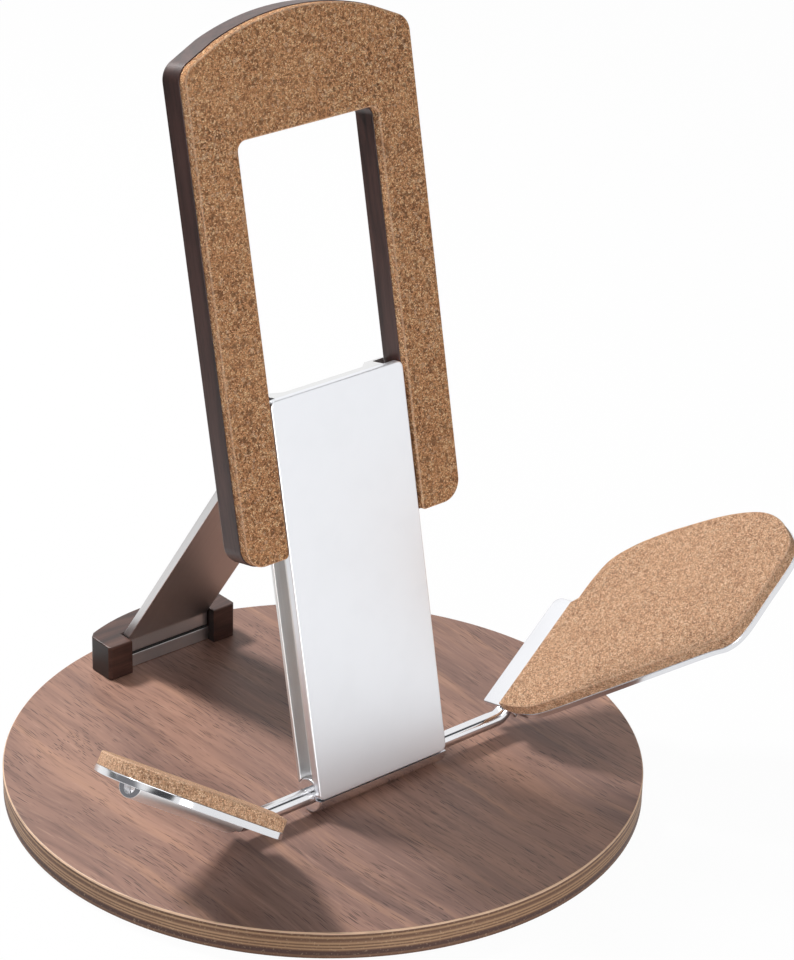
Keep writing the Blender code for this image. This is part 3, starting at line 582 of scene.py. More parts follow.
def cork_finish(name, size, tones, strength):
    """Pressed cork: fine granules, size in metres, with light and dark specks among them, and a painted
    highlight along its rounded rim.
    """
    cork = Finish(name)
    dense = 1.0 / size
    brown = shade(104, 66, 42)
    pale = shade(240, 208, 176)
    # Colour of the painted highlight on the rounded rim.
    rim_highlight = shade(244, 206, 174)
    spot = cork.shift(cork.spot, cork.wander(900.0, 0.0007))
    small = cork.split(cork.grains(spot, dense, "Color"))[0]
    large = cork.split(cork.grains(spot, dense * 0.46, "Color"))[1]
    joint = cork.grains(spot, dense, feature="DISTANCE_TO_EDGE")
    dust = cork.noise(cork.spot, 2300.0, 2.0, 0.7)
    broad = cork.noise(cork.spot, 30.0, 2.0)
    body = cork.ramp(small, [(0.0, tones[0]), (0.3, tones[1]), (0.7, tones[2]), (1.0, tones[3])])
    body = cork.blend(body, brown, large.rise(0.78, 0.98) * (0.42 * strength))
    body = cork.blend(body, pale, (1.0 - large).rise(0.90, 0.98) * 0.5)
    body = cork.blend(body, brown, (1.0 - joint.rise(0.0, 0.16)) * (0.42 * strength))
    body = cork.blend(body, brown, dust.rise(0.60, 0.78) * (0.5 * strength))
    body = cork.blend(body, tones[2], broad.rise(0.35, 0.75) * 0.15)
    # Painted highlight: faces of the rounded rim, found by their outward normal, are lightened as if they
    # catch the light.
    outward = cork.split(cork.node("ShaderNodeTexCoord", output="Normal"))[2]
    rim = outward.rise(0.15, 0.5) * (1.0 - outward.rise(0.86, 0.97))
    body = cork.blend(body, rim_highlight, rim * 0.35)
    height = joint.rise(0.0, 0.25) * 0.6 + dust * 0.5
    cork.set(Base_Color=body, Roughness=0.88, Normal=cork.bump(height, 0.00014, 0.7))
    return cork.material


def grain_scale(across, along, axis):
    """Scale of a pattern that is drawn out along one axis of the piece."""
    scale = [across] * 3
    scale[axis] = along
    return tuple(scale)


def wood_pores(wood, spot, along, width, length):
    """Short dark dashes that follow the grain; width and length in metres."""
    dash = wood.grains(wood.stretch(spot, grain_scale(1.0 / width, 1.0 / length, along)), 1.0)
    patch = wood.noise(spot, 45.0, 2.0)
    return (1.0 - dash.rise(0.14, 0.28)) * patch.rise(0.34, 0.58)


def walnut_finish():
    """Open-grained walnut veneer, grain from front to rear."""
    wood = Finish("walnut veneer")
    spot = wood.shift(wood.spot, wood.wander(6.0, 0.03))
    broad = wood.noise(wood.stretch(spot, (24.0, 4.5, 1.0)), 1.0)
    band = wood.noise(wood.stretch(spot, (120.0, 7.0, 1.0)), 1.0)
    line = wood.noise(wood.stretch(spot, (620.0, 34.0, 1.0)), 1.0, rough=0.62)
    fibre = wood.noise(wood.stretch(wood.spot, (1700.0, 60.0, 1.0)), 1.0, rough=0.6)
    body = wood.ramp(broad, [(0.30, shade(118, 90, 81)), (0.5, shade(152, 116, 102)),
                             (0.70, shade(184, 141, 121))])
    body = wood.blend(body, shade(104, 76, 68), band.rise(0.50, 0.74) * 0.5)
    body = wood.blend(body, shade(206, 158, 128), (1.0 - band).rise(0.50, 0.74) * 0.45)
    body = wood.blend(body, shade(92, 64, 56), line.rise(0.52, 0.70) * 0.42)
    body = wood.blend(body, shade(208, 168, 146), (1.0 - line).rise(0.54, 0.74) * 0.35)
    body = wood.blend(body, shade(52, 34, 29), wood_pores(wood, spot, 1, 0.0010, 0.028) * 0.8)
    body = wood.blend(body, shade(56, 36, 31), wood_pores(wood, wood.spot, 1, 0.0008, 0.014) * 0.7)
    height = fibre * 0.4 + line * 0.3
    wood.set(Base_Color=body, Roughness=fibre * 0.12 + 0.42, Normal=wood.bump(height, 0.00006, 0.6))
    return wood.material


def ply_finish():
    """Stack of light and dark plies seen on the board's edge, with a pale band on the rounded top rim that is
    a painted highlight.
    """
    ply = Finish("plywood edge")
    high = ply.split(ply.spot)[2]
    sway = (ply.noise(ply.spot, 14.0, 4.0) - 0.5) * 0.0014
    level = (high + sway - BOARD_LOW * MM) / ((BOARD_TOP - BOARD_LOW) * MM)
    dark = shade(74, 46, 37)
    umber = shade(100, 67, 48)
    brown = shade(124, 90, 68)
    tan = shade(188, 150, 114)
    # Painted highlight: the pale stop at the top of the ramp covers the rounded top rim, lightened as if it
    # catches the light.
    pale = shade(240, 202, 170)
    body = ply.ramp(level, [(0.0, brown), (0.05, umber), (0.12, brown), (0.17, dark), (0.28, dark),
                            (0.33, brown), (0.37, tan), (0.42, umber), (0.48, tan), (0.53, umber),
                            (0.59, tan), (0.66, brown), (0.74, umber), (0.82, tan), (0.86, umber),
                            (0.92, umber), (0.94, pale)])
    streak = ply.noise(ply.stretch(ply.spot, (60.0, 60.0, 1500.0)), 1.0, 4.0, 0.6)
    speck = ply.noise(ply.spot, 900.0, 2.0, 0.6)
    body = ply.blend(body, shade(96, 62, 42), streak.rise(0.50, 0.72) * 0.4)
    body = ply.blend(body, shade(236, 204, 168), speck.rise(0.55, 0.8) * 0.3)
    ply.set(Base_Color=body, Roughness=0.6, Normal=ply.bump(streak, 0.00008, 0.5))
    return ply.material


def dark_walnut_finish(name, along, base, deep, light):
    """Oiled dark walnut with its grain along one axis of the piece."""
    wood = Finish(name)
    drawn = wood.stretch(wood.shift(wood.spot, wood.wander(9.0, 0.02)), grain_scale(230.0, 8.0, along))
    line = wood.noise(drawn, 1.0, 4.0)
    fibre = wood.noise(wood.stretch(wood.spot, grain_scale(1700.0, 50.0, along)), 1.0, rough=0.6)
    body = wood.ramp(line, [(0.28, deep), (0.5, base), (0.74, light)])
    body = wood.blend(body, deep, fibre.rise(0.5, 0.78) * 0.5)
    body = wood.blend(body, deeper(deep, 0.4), wood_pores(wood, wood.spot, along, 0.0008, 0.012) * 0.6)
    height = fibre * 0.5 + line * 0.3
    wood.set(Base_Color=body, Roughness=fibre * 0.15 + 0.30, Normal=wood.bump(height, 0.00006, 0.6))
    return wood.material


def end_grain_finish(name, base, deep):
    """Dark cut end of the walnut, close-pored, with faint growth rings."""
    wood = Finish(name)
    pore = wood.grains(wood.spot, 1500.0)
    cloud = wood.noise(wood.spot, 120.0)
    ring = wood.noise(wood.stretch(wood.spot, (1.0, 60.0, 420.0)), 1.0)
    body = wood.blend(deep, base, cloud.rise(0.35, 0.7))
    body = wood.blend(body, deep, ring.rise(0.48, 0.7) * 0.6)
    body = wood.blend(body, deeper(deep, 0.5), (1.0 - pore.rise(0.15, 0.4)) * 0.6)
    wood.set(Base_Color=body, Roughness=cloud * 0.1 + 0.42, Normal=wood.bump(pore, 0.00004, 0.5))
    return wood.material


def paint_metal(metal, colour, rough, line, uneven, contrast):
    """Metal whose colour and roughness follow a pattern and a broad cloud."""
    cloud = metal.noise(metal.spot, 24.0, 2.0)
    body = metal.blend(colour, deeper(colour, 1.0 - contrast), line.rise(0.35, 0.8) * 0.6)
    metal.set(Base_Color=body, Metallic=1.0, Roughness=(line - 0.5) * uneven + cloud * 0.04 + rough)


def smooth_metal_finish(name, colour, rough, uneven=0.03, contrast=0.03):
    """Blasted, polished or plated metal with a faint cloudiness."""
    metal = Finish(name)
    paint_metal(metal, colour, rough, metal.noise(metal.spot, 60.0, 2.0), uneven, contrast)
    return metal.material


def lined_metal_finish(name, colour, rough, along):
    """Aluminium with fine drawn lines along one axis of the piece."""
    metal = Finish(name)
    line = metal.noise(metal.stretch(metal.spot, grain_scale(2600.0, 12.0, along)), 1.0, rough=0.6)
    paint_metal(metal, colour, rough, line, 0.06, 0.10)
    metal.set(Normal=metal.bump(line, 0.000004, 0.5))
    return metal.material


def plain_finish(name, colour, rough, metallic=0.0):
    """Moulded rubber or plastic, or blackened steel, with a fine even tooth."""
    skin = Finish(name)
    tooth = skin.noise(skin.spot, 900.0)
    wear = skin.noise(skin.spot, 60.0)
    worn = tuple(part * 1.6 + 0.01 for part in colour)
    body = skin.blend(colour, worn, wear.rise(0.4, 0.8) * 0.5)
    skin.set(Base_Color=body, Roughness=tooth * 0.15 + rough, Metallic=metallic,
             Normal=skin.bump(tooth, 0.00005, 0.6))
    return skin.material


LEAF_CORK_TONES = (shade(150, 104, 72), shade(208, 160, 124), shade(232, 184, 146), shade(255, 222, 186))
YOKE_CORK_TONES = (shade(110, 64, 36), shade(200, 141, 94), shade(231, 171, 120), shade(255, 222, 174))
LOOK = {
    "veneer": walnut_finish(),
    "ply": ply_finish(),
    "leaf cork": cork_finish("pressed cork of the leaves", 0.0005, LEAF_CORK_TONES, 1.1),
    "yoke cork": cork_finish("pressed cork of the yoke", 0.00065, YOKE_CORK_TONES, 1.8),
    "yoke wood": dark_walnut_finish("oiled walnut of the yoke", 1,
                                    shade(68, 42, 37), shade(32, 18, 16), shade(84, 56, 50)),
    "holder wood": dark_walnut_finish("oiled walnut of the strut holder", 0,
                                      shade(74, 48, 41), shade(42, 26, 22), shade(100, 70, 59)),
    "holder end": end_grain_finish("cut end of the holder", shade(46, 30, 27), shade(26, 17, 16)),
    "plate": smooth_metal_finish("blasted plate aluminium", (0.85, 0.865, 0.90), 0.34),
    "leaf": smooth_metal_finish("satin leaf aluminium", (0.76, 0.765, 0.79), 0.14),
    # The sleeve is the same metal as the leaf plate. Its paler colour is painted light that makes it look
    # brightly lit.
    "sleeve": smooth_metal_finish("satin sleeve aluminium painted paler as lit", (0.94, 0.94, 0.95), 0.40),
    "extrusion": lined_metal_finish("anodised column aluminium", (0.80, 0.80, 0.80), 0.34, 2),
    "strut": lined_metal_finish("satin strut aluminium", (0.72, 0.71, 0.71), 0.34, 1),
    "bar": lined_metal_finish("satin bar aluminium", (0.62, 0.61, 0.62), 0.36, 0),
    "steel": smooth_metal_finish("polished bar steel", (0.84, 0.84, 0.86), 0.10, contrast=0.10),
    "zinc": smooth_metal_finish("zinc-plated screw", (0.62, 0.62, 0.64), 0.28, uneven=0.06, contrast=0.10),
    "dark steel": plain_finish("blackened bracket steel", (0.16, 0.16, 0.17), 0.36, metallic=1.0),
    "rubber": plain_finish("black pad rubber", (0.018, 0.018, 0.019), 0.72),
    "plastic": plain_finish("black glide plastic", (0.03, 0.03, 0.032), 0.42),
}
FITTING_LOOKS = (("screw", "zinc"), ("grub", "zinc"), ("pin", "zinc"), ("hinge_bracket", "dark steel"),
                 ("pivot_rod", "steel"), ("glide", "plastic"), ("pad", "rubber"))


def board():
    """Round board with its pockets for the pads and its screw holes."""
    body = prism(circle(BOARD_RADIUS, 256), BOARD_LOW, BOARD_TOP, FLAT, BOARD_EDGE, BOARD_EDGE)
    wide = PAD_RADIUS + GAP
    pocket = [(0, 0), (wide, 0), (wide, PAD_POCKET_TOP), (0, PAD_POCKET_TOP)]
    for k in range(PAD_COUNT):
        angle = math.radians(45 + 360 / PAD_COUNT * k)
        spot = Matrix.Translation((PAD_CIRCLE * math.cos(angle), PAD_CIRCLE * math.sin(angle), 0))
        body = cut(body, turned(pocket, spot))
    for x, y in holder_screw_spots():
        body = cut(body, turned(HOLDER_SCREW_HOLE, Matrix.Translation((x, y, 0))))
    for y in BRACKET_SCREW_Y:
        body = cut(body, turned(BRACKET_SCREW_HOLE, Matrix.Translation((0, y, 0)), 24))
    place("board", body, FLAT, [LOOK["veneer"], LOOK["ply"]], "base", "walnut_ply", "base_board",
          pick=lambda face: 0 if abs(face.normal.z) > 0.97 else 1)


def holder_screw_spots():
    side = (HOLDER_HALF + HOLDER_GAP_HALF) / 2
    depth = (HOLDER_FRONT + HOLDER_SIDE_REAR) / 2
    return [(-side, depth), (side, depth), (0.0, (FOOT_Y + STRUT_THICK + HOLDER_REAR) / 2)]


def holder():
    """Walnut block round the strut's foot, and the metal bar that closes its mouth below."""
    low = BOARD_TOP + GAP
    back = FOOT_Y + STRUT_THICK + GAP
    bulge = HOLDER_REAR - HOLDER_SIDE_REAR
    reach = (HOLDER_HALF ** 2 + bulge ** 2) / (2 * bulge)
    swing = math.degrees(math.asin((HOLDER_HALF - HOLDER_CORNER) / reach))
    rear = arc(reach, 90 - swing, 90 + swing, 32, 0.0, HOLDER_REAR - reach)
    left = arc(HOLDER_CORNER, 125, 180, 8, -HOLDER_HALF + HOLDER_CORNER, HOLDER_SIDE_REAR - HOLDER_CORNER)
    left += [(-HOLDER_HALF, HOLDER_FRONT + HOLDER_CHAMFER), (-HOLDER_HALF + HOLDER_CHAMFER, HOLDER_FRONT),
             (-HOLDER_GAP_HALF, HOLDER_FRONT), (-HOLDER_GAP_HALF, back)]
    right = [(-x, y) for x, y in reversed(left)]
    body = prism(right + rear + left, low, BOARD_TOP + HOLDER_HEIGHT, FLAT, 0.0, 0.7)
    slot_half = BAR_HALF + GAP
    slot_back = back - SLIVER
    slot = [(-slot_half, FOOT_Y), (slot_half, FOOT_Y), (slot_half, slot_back), (-slot_half, slot_back)]
    body = cut(body, prism(slot, low - 1, BOARD_TOP + BAR_HEIGHT + GAP))
    home = Matrix.Translation((0, HOLDER_FRONT, BOARD_TOP))
    place("holder", body, home, [LOOK["holder wood"], LOOK["holder end"]], "base", "dark_walnut",
          "strut_holder", pick=lambda face: 1 if abs(face.normal.x) > 0.9 else 0)
    near = FOOT_Y + GAP
    far = back - GAP
    plan = [(-BAR_HALF, near), (BAR_HALF, near), (BAR_HALF, far), (-BAR_HALF, far)]
    bar = prism(plan, low, BOARD_TOP + BAR_HEIGHT, FLAT, 0.0, 0.35)
    place("bar_of_holder", bar, home, [LOOK["bar"]], "base", "satin_aluminium", "holder_bar")


def arm_path(side):
    """Rings along a bent rod as (middle, direction, how much slimmer than the rod)."""
    out, _, elbow = leaf_directions(side)
    level = side * SIDE
    path = [(AXIS + ROD_START * level, level, ROD_CHAMFER),
            (AXIS + (ROD_START + ROD_CHAMFER) * level, level, 0.0)]
    centre = elbow - BEND_RADIUS * math.tan(BEND / 2) * level + BEND_RADIUS * UP
    for step in range(BEND_STEPS + 1):
        turn = BEND * step / BEND_STEPS
        spot = centre + BEND_RADIUS * (math.sin(turn) * level - math.cos(turn) * UP)
        path.append((spot, math.cos(turn) * level + math.sin(turn) * UP, 0.0))
    start, end = ROD_GROOVE
    rings = [(start, 0.0), (start + HAIR, GROOVE_DEEP), (end - HAIR, GROOVE_DEEP), (end, 0.0)]
    rings += [(ROD_LENGTH - left, less) for left, less in ROD_END]
    path += [(elbow + distance * out, out, less) for distance, less in rings]
    return path


def arms():
    """Bent rods of the two leaves, each with its groove for the grub screw."""
    for side, word in SIDES:
        bm = bmesh.new()
        rings = []
        for spot, direction, less in arm_path(side):
            across = direction.cross(OUT)
            rings.append([bm.verts.new(spot + x * OUT + y * across) for x, y in circle(ROD_RADIUS - less)])
        bm.faces.new(rings[0])
        bm.faces.new(rings[-1])
        for first, second in zip(rings, rings[1:]):
            bridge(bm, first, second)
        place("arm_" + word, bm, COLUMN_FACE, [LOOK["steel"]], "base", "polished_steel", "arm_rod_" + word)


def countersink(x, v):
    """Tool for a screw hole whose head lies in the floor of the rear channel."""
    return turned(COUNTERSUNK_HOLE, facing(-OUT, AXIS + x * SIDE + v * UP + CHANNEL_FLOOR * OUT), 32)


def extrusion():
    """Column section with its side grooves, its rear channel and the room for the hinge."""
    rail_front = COLUMN_REAR + RAIL_THICK
    lip_rear = WEB_FRONT - FRONT_LIP
    half = [(CHANNEL_FLOOR, CHANNEL_FLOOR_HALF, 2.0), (COLUMN_REAR, CHANNEL_MOUTH_HALF, 1.0),
            (COLUMN_REAR, COLUMN_HALF, 0.5), (rail_front, COLUMN_HALF, 0.5),
            (rail_front, GROOVE_BOTTOM_HALF, 0.8), (lip_rear, GROOVE_BOTTOM_HALF, 0.8),
            (lip_rear, FRONT_LIP_HALF, 0.3), (WEB_FRONT, FRONT_LIP_HALF, 0.3)]
    mirrored = [(n, -x, r) for n, x, r in reversed(half)]
    wide = COLUMN_HALF + 2
    deep = 20
    body = prism(rounded(half + mirrored, 6), -2.0, EXTRUSION_TOP, COLUMN_SECTION, 0.0, 0.2, 2)
    body = cut(body, prism(circle(BARREL_RADIUS + GAP, 96), -wide, wide, COLUMN_EDGE))
    below = [(-deep, -deep), (EXTRUSION_LOW, -deep), (EXTRUSION_LOW, deep), (-deep, deep)]
    body = cut(body, prism(below, -wide, wide, COLUMN_EDGE))
    notch_top = TONGUE_HEIGHT + GAP
    notch = [(-5, COLUMN_REAR - 2), (notch_top, COLUMN_REAR - 2),
             (notch_top, WEB_FRONT + 1), (-5, WEB_FRONT + 1)]
    body = cut(body, prism(notch, -TONGUE_HALF - GAP, TONGUE_HALF + GAP, COLUMN_EDGE))
    bore = circle(PIVOT_RADIUS + RUN, 32, PIVOT_V, PIVOT_N)
    body = cut(body, prism(bore, -PIVOT_BORE_HALF, PIVOT_BORE_HALF, COLUMN_EDGE))
    for v in PLATE_SCREW_V:
        body = cut(body, countersink(-PLATE_SCREW_X, v), countersink(PLATE_SCREW_X, v))
    return body


def column():
    """Extrusion and the smooth plate on its front."""
    place("column", extrusion(), COLUMN_SECTION, [LOOK["extrusion"]], "column", "satin_aluminium",
          "column_extrusion")
    corners = [(x, v, PLATE_CORNER) for x, v in ((-COLUMN_HALF, PLATE_LOW), (COLUMN_HALF, PLATE_LOW),
                                                 (COLUMN_HALF, COLUMN_HEIGHT), (-COLUMN_HALF, COLUMN_HEIGHT))]
    plate = prism(rounded(corners, 12), PLATE_BACK, PLATE_FRONT, COLUMN_FACE, 0.25, 0.7)
    place("plate", plate, COLUMN_FACE, [LOOK["plate"]], "column", "brushed_aluminium", "front_plate")


def barrel():
    """Hinge barrel: bored for the rods, stepped for the plate, with a tongue up into the column."""
    long_half = COLUMN_HALF - 0.1
    wide = COLUMN_HALF + 2
    beyond = BARREL_RADIUS + 2
    body = prism(circle(BARREL_RADIUS, 128), -long_half, long_half, COLUMN_EDGE, BARREL_EDGE, BARREL_EDGE)
    body = cut(body, prism(circle(ROD_RADIUS + RUN), -wide, wide, COLUMN_EDGE))
    low = PLATE_LOW - GAP
    step = [(low, WEB_FRONT), (beyond, WEB_FRONT), (beyond, beyond), (low, beyond)]
    body = cut(body, prism(step, -wide, wide, COLUMN_EDGE))
    root = ROD_RADIUS + 1.5
    face = WEB_FRONT - 0.1
    tongue = [(root, CHANNEL_FLOOR), (TONGUE_HEIGHT, CHANNEL_FLOOR), (TONGUE_HEIGHT, face), (root, face)]
    body = join(body, prism(tongue, -TONGUE_HALF, TONGUE_HALF, COLUMN_EDGE))
    swing = [(0.0, 0.0)] + arc(EAR_SLOT_RADIUS, *EAR_SLOT_TURN, 24)
    for side in (-1, 1):
        near, far = sorted(side * x for x in EAR_SLOT)
        body = cut(body, prism(swing, near, far, AXIS_UPRIGHT))
    for x in (-BARREL_SCREW_X, BARREL_SCREW_X):
        body = cut(body, countersink(x, BARREL_SCREW_V))
    place("barrel", body, COLUMN_FACE, [LOOK["steel"]], "column", "polished_steel", "hinge_barrel")


def strut():
    """Bent plate from its pivot in the column's channel down to the foot in the holder."""
    pivot = AXIS + PIVOT_V * UP + PIVOT_N * OUT
    fold = Vector((0, FOOT_Y, BOARD_TOP + FOLD_HEIGHT))
    reach = pivot - fold
    span = math.hypot(reach.y, reach.z)
    tilt = math.atan2(-reach.y, reach.z) - math.asin(STRUT_OFFSET / span)
    down = Vector((0, math.sin(tilt), -math.cos(tilt)))
    back = Vector((0, math.cos(tilt), math.sin(tilt)))
    head = pivot + STRUT_OFFSET * back - STRUT_RISE * down
    rear_head = head + STRUT_THICK * back
    rear_y = FOOT_Y + STRUT_THICK
    rear_fold_z = fold.z + STRUT_THICK * math.tan(tilt / 2)
    corners = [(head.y, head.z, 0.8), (fold.y, fold.z, FOLD_RADIUS), (FOOT_Y, FOOT_Z, 0.8),
               (rear_y, FOOT_Z, 0.8), (rear_y, rear_fold_z, FOLD_RADIUS + STRUT_THICK),
               (rear_head.y, rear_head.z, 0.8)]
    body = prism(rounded(corners, 10), -STRUT_HALF, STRUT_HALF, UPRIGHT, 0.4, 0.4, 3)
    lug_frame = axes(down, -back, -SIDE, pivot)
    lug = arc(KNUCKLE_RADIUS, 0, 180, 24)
    lug += [(-KNUCKLE_RADIUS + 1.9, -KNUCKLE_ROOT), (KNUCKLE_RADIUS, -KNUCKLE_ROOT)]
    for side in (-1, 1):
        near, far = sorted(side * x for x in KNUCKLE_SIDES)
        body = join(body, prism(lug, near, far, lug_frame))
    body = cut(body, prism(circle(PIVOT_RADIUS + RUN, 32), -30, 30, lug_frame))
    home = axes(SIDE, down, back, pivot)
    place("strut", body, home, [LOOK["strut"]], "strut", "satin_aluminium", "strut_plate")


def yoke_outline(margin=0.0):
    """Outline of the yoke as (x, v) points, going round from the left foot."""
    half = YOKE_HALF - margin
    inner = YOKE_WINDOW_HALF + margin
    foot = YOKE_FOOT + margin
    window_top = YOKE_WINDOW_TOP + margin
    rise = YOKE_CROWN - YOKE_SHOULDER
    reach = (half ** 2 + rise ** 2) / (2 * rise)
    swing = math.degrees(math.asin(half / reach))
    top = arc(reach, 90 + swing, 90 - swing, 36, 0.0, YOKE_CROWN - margin - reach)
    corners = [(-inner, foot, YOKE_HEEL_RADIUS), (-half, foot, YOKE_TOE_RADIUS)]
    corners += [(*top[0], YOKE_SHOULDER_RADIUS)] + [(x, y, 0.0) for x, y in top[6:-6]]
    corners += [(*top[-1], YOKE_SHOULDER_RADIUS), (half, foot, YOKE_TOE_RADIUS)]
    corners += [(inner, foot, YOKE_HEEL_RADIUS)]
    corners += [(inner, window_top, YOKE_WINDOW_RADIUS), (-inner, window_top, YOKE_WINDOW_RADIUS)]
    return rounded(corners, 12)


def yoke():
    """Walnut frame that straddles the column, and its cork facing."""
    wood = prism(yoke_outline(), COLUMN_REAR, YOKE_WOOD_FRONT, COLUMN_FACE, 1.2, 0.3)
    place("yoke_wood", wood, COLUMN_FACE, [LOOK["yoke wood"]], "yoke", "dark_walnut", "yoke_frame")
    edge = yoke_outline(YOKE_CORK_MARGIN)
    cork = prism(edge, YOKE_WOOD_FRONT + HAIR, YOKE_CORK_FRONT, COLUMN_FACE, 0.0, 1.1, 6)
    place("yoke_facing", cork, COLUMN_FACE, [LOOK["yoke cork"]], "yoke", "cork", "yoke_cork")


def cork_plan(grow=0.0):
    """Curved rim of a leaf's cork as (a, b) points: along the rod first, then forward."""
    edge = smooth_run(CORK_RIM, 6)
    last = len(edge) - 1
    moved = []
    for k in range(len(edge)):
        step = Vector(edge[min(k + 1, last)]) - Vector(edge[max(k - 1, 0)])
        step.normalize()
        moved.append((edge[k][0] + grow * step.y, edge[k][1] - grow * step.x))
    return moved


def sleeve_side(face):
    """1 for the round side of the sleeve under a leaf plate, 0 for the rest of the leaf."""
    return int(face.calc_center_median().z < 0.8 * LEAF_LOW * MM and abs(face.normal.y) < 0.5)


def leaf_metal(side):
    """Leaf plate joined to its sleeve, with the rod's bore, the stop slot and the grub hole."""
    section = leaf_section(side)
    strip = rounded([(STRIP_START, CORK_START, 0.0), (STRIP_START, STRIP_REAR, 1.2),
                     (STRIP_END, STRIP_REAR, 4.5), (STRIP_END, CORK_START, 0.0)], 10)[1:]
    outline = strip + cork_plan(PLATE_MARGIN)[2:-6] + [(STRIP_START, STRIP_SIDE_END)]
    body = prism([(b, a) for a, b in outline], LEAF_LOW, LEAF_TOP, leaf_plan(side), 0.4, 0.6, 3)
    flat = SLEEVE_DEPTH / SLEEVE_HALF
    rim = [(LEAF_LOW + 1.0, -SLEEVE_HALF), (LEAF_LOW + 1.0, SLEEVE_HALF)]
    rim += [(-x * flat, y) for x, y in arc(SLEEVE_HALF, 90, -90, 48)]
    body = join(body, prism(rim, SLEEVE_START, SLEEVE_END, section, 0.3, 0.3, 2))
    body = cut(body, prism(circle(ROD_RADIUS + RUN), STRIP_START - 3, SLEEVE_END + 4, section))
    stop = [(0.0, 0.0)] + [(h, b) for b, h in arc(STOP_SLOT_RADIUS, *STOP_SLOT_TURN, 12)]
    body = cut(body, prism(stop, SLEEVE_START - 1, STOP_SLOT_END, section))
    along, square, elbow = leaf_directions(side)
    seat = elbow + GRUB_ALONG * along - (SLEEVE_DEPTH + HAIR) * square
    return cut(body, turned(GRUB_HOLE, facing(-square, seat), 24))


def leaves():
    """Both leaves: metal plate with its sleeve, and the cork pad on top."""
    start, end = CORK_REAR_EDGE
    edge = [(start, CORK_START), (end, CORK_START)] + cork_plan()
    for side, word in SIDES:
        plan = leaf_plan(side)
        place("leaf_" + word, leaf_metal(side), plan, [LOOK["leaf"], LOOK["sleeve"]], "leaf_" + word,
              "brushed_aluminium", "leaf_plate_" + word, pick=sleeve_side)
        pad = prism([(b, a) for a, b in edge], LEAF_TOP + HAIR, LEAF_CORK_TOP, plan, 0.0, 1.0, 6)
        place("leaf_pad_" + word, pad, plan, [LOOK["leaf cork"]], "leaf_" + word, "cork", "leaf_cork_" + word)


def fittings():
    """Screws, pins, pads, glides, bracket and pivot keep the part's own shape and get a finish."""
    for name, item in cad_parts.items():
        if item.hide_render:
            continue
        look = next(look for word, look in FITTING_LOOKS if word in name)
        item.data.materials.clear()
        item.data.materials.append(LOOK[look])


def sky():
    """White world with little light of its own, and a dark stripe and corner in what metal mirrors."""
    world = bpy.data.worlds.new("studio")
    bpy.context.scene.world = world
    world.use_nodes = True
    world.node_tree.nodes.clear()
    air = Tree(world.node_tree)
    seen = air.node("ShaderNodeLightPath", output="Is Camera Ray")
    glossy = air.node("ShaderNodeLightPath", output="Is Glossy Ray")
    across, deep, high = air.split(air.node("ShaderNodeTexCoord", output="Generated"))
    stripe = (deep * 0.92 + high * 0.39).size()
    tone = air.blend((0.05, 0.05, 0.055), (1, 1, 1), stripe.rise(0.10, 0.26))
    corner = (deep * 0.66 - across * 0.75).rise(0.74, 0.90)
    tone = air.blend(tone, (0.22, 0.22, 0.23), corner)
    plain = air.node("ShaderNodeBackground", (), {"Color": (1, 1, 1), "Strength": 0.04})
    mirrored = air.node("ShaderNodeBackground", (), {"Color": tone, "Strength": 1.0})
    white = air.node("ShaderNodeBackground", (), {"Color": (1, 1, 1), "Strength": 1.0})
    shown = air.node("ShaderNodeMixShader", (), {0: glossy, 1: plain, 2: mirrored})
    shown = air.node("ShaderNodeMixShader", (), {0: seen, 1: shown, 2: white})
    end = air.tree.nodes.new("ShaderNodeOutputWorld")
    air.feed(end.inputs["Surface"], shown)


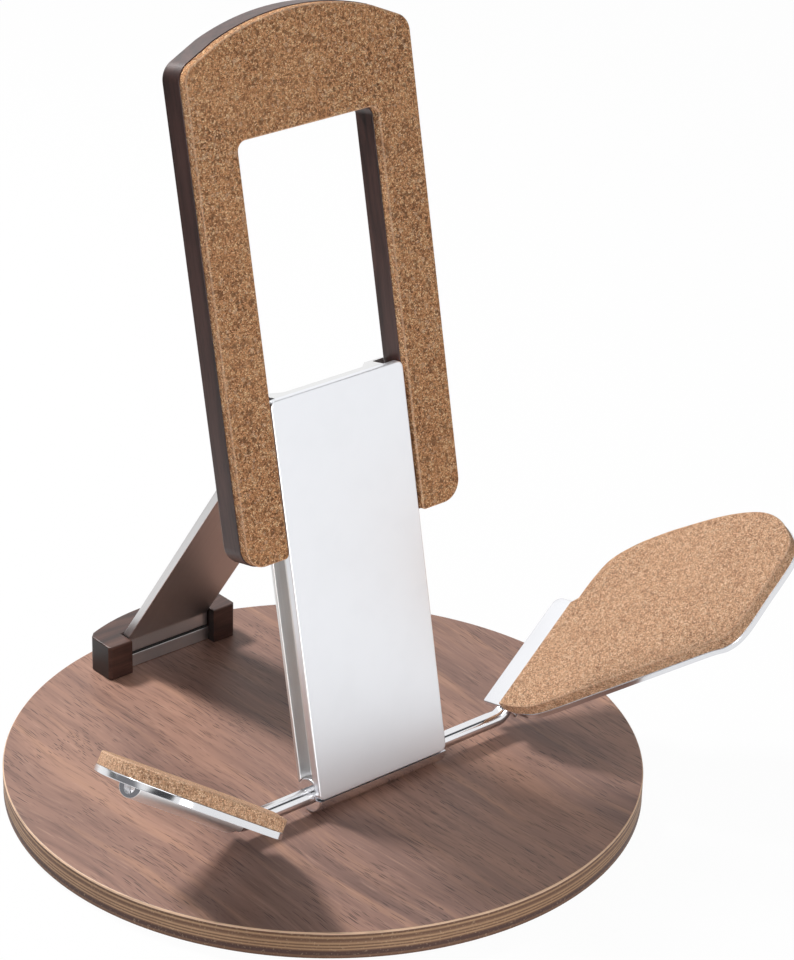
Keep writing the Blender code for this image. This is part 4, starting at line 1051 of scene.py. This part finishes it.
def floor():
    """Paper floor that looks white and keeps the shadow, darker far away in what metal mirrors."""
    reach = 8.0
    mesh = bpy.data.meshes.new("floor")
    corners = [(-reach, -reach, 0), (reach, -reach, 0), (reach, reach, 0), (-reach, reach, 0)]
    mesh.from_pydata(corners, [], [(0, 1, 2, 3)])
    ground = bpy.data.objects.new("floor", mesh)
    bpy.context.scene.collection.objects.link(ground)
    paper = Finish("white floor")
    paper.set(Base_Color=(0.97, 0.97, 0.97), Roughness=0.9)
    seen = paper.node("ShaderNodeLightPath", output="Is Camera Ray")
    glossy = paper.node("ShaderNodeLightPath", output="Is Glossy Ray")
    across, deep = paper.split(paper.spot)[:2]
    far = ((deep - across) * 0.7).rise(0.34, 0.60)
    bright = paper.node("ShaderNodeEmission", (), {"Color": (1, 1, 1), "Strength": 1.0})
    dim = paper.node("ShaderNodeEmission", (), {"Color": (1, 1, 1), "Strength": 0.15})
    glow = paper.node("ShaderNodeMixShader", (), {0: glossy * far, 1: bright, 2: dim})
    lit = Wire(paper, paper.shader.outputs["BSDF"])
    surface = paper.node("ShaderNodeMixShader", (), {0: seen.most(glossy) * 0.97, 1: lit, 2: glow})
    paper.feed(paper.tree.nodes["Material Output"].inputs["Surface"], surface)
    mesh.materials.append(paper.material)


def lamps():
    """Small key lamp behind on the left, wide lamp above, and a low lamp in front, all at the stand."""
    for name, spot, size, power in (("key lamp", (-0.3, 1.0, 1.3), 0.34, 24.0),
                                    ("top lamp", (-0.35, 0.1, 1.6), 1.1, 4.0),
                                    ("front lamp", (-0.4, -1.5, 0.24), 0.8, 11.5)):
        data = bpy.data.lights.new(name, "AREA")
        data.shape = "DISK"
        data.size = size
        data.energy = power
        lamp = bpy.data.objects.new(name, data)
        lamp.location = spot
        lamp.rotation_mode = "QUATERNION"
        lamp.rotation_quaternion = (Vector((0, 0, 0.1)) - Vector(spot)).to_track_quat("-Z", "Y")
        bpy.context.scene.collection.objects.link(lamp)


def camera():
    """Camera at the photograph's angle, about 1.5 m from the stand."""
    azimuth = math.radians(39.62)
    rise = math.radians(27.18)
    roll = math.radians(0.91)
    distance = 1.5077
    target = Vector((0, 0, 0.1263))
    level = Vector((math.cos(azimuth), -math.sin(azimuth), 0))
    ahead = Vector((math.sin(azimuth), math.cos(azimuth), 0))
    back = math.sin(rise) * Vector((0, 0, 1)) - math.cos(rise) * ahead
    above = back.cross(level)
    across = math.cos(roll) * level + math.sin(roll) * above
    upward = -math.sin(roll) * level + math.cos(roll) * above
    data = bpy.data.cameras.new("camera")
    data.sensor_width = 36.0
    data.lens = 124.41
    data.shift_x = 0.0734
    data.shift_y = 0.0657
    item = bpy.data.objects.new("camera", data)
    item.matrix_world = axes(across, upward, back, target + distance * back)
    bpy.context.scene.collection.objects.link(item)
    bpy.context.scene.camera = item


camera()
board()
holder()
arms()
column()
barrel()
strut()
yoke()
leaves()
fittings()
sky()
floor()
lamps()
bpy.context.scene.view_settings.view_transform = "Standard"
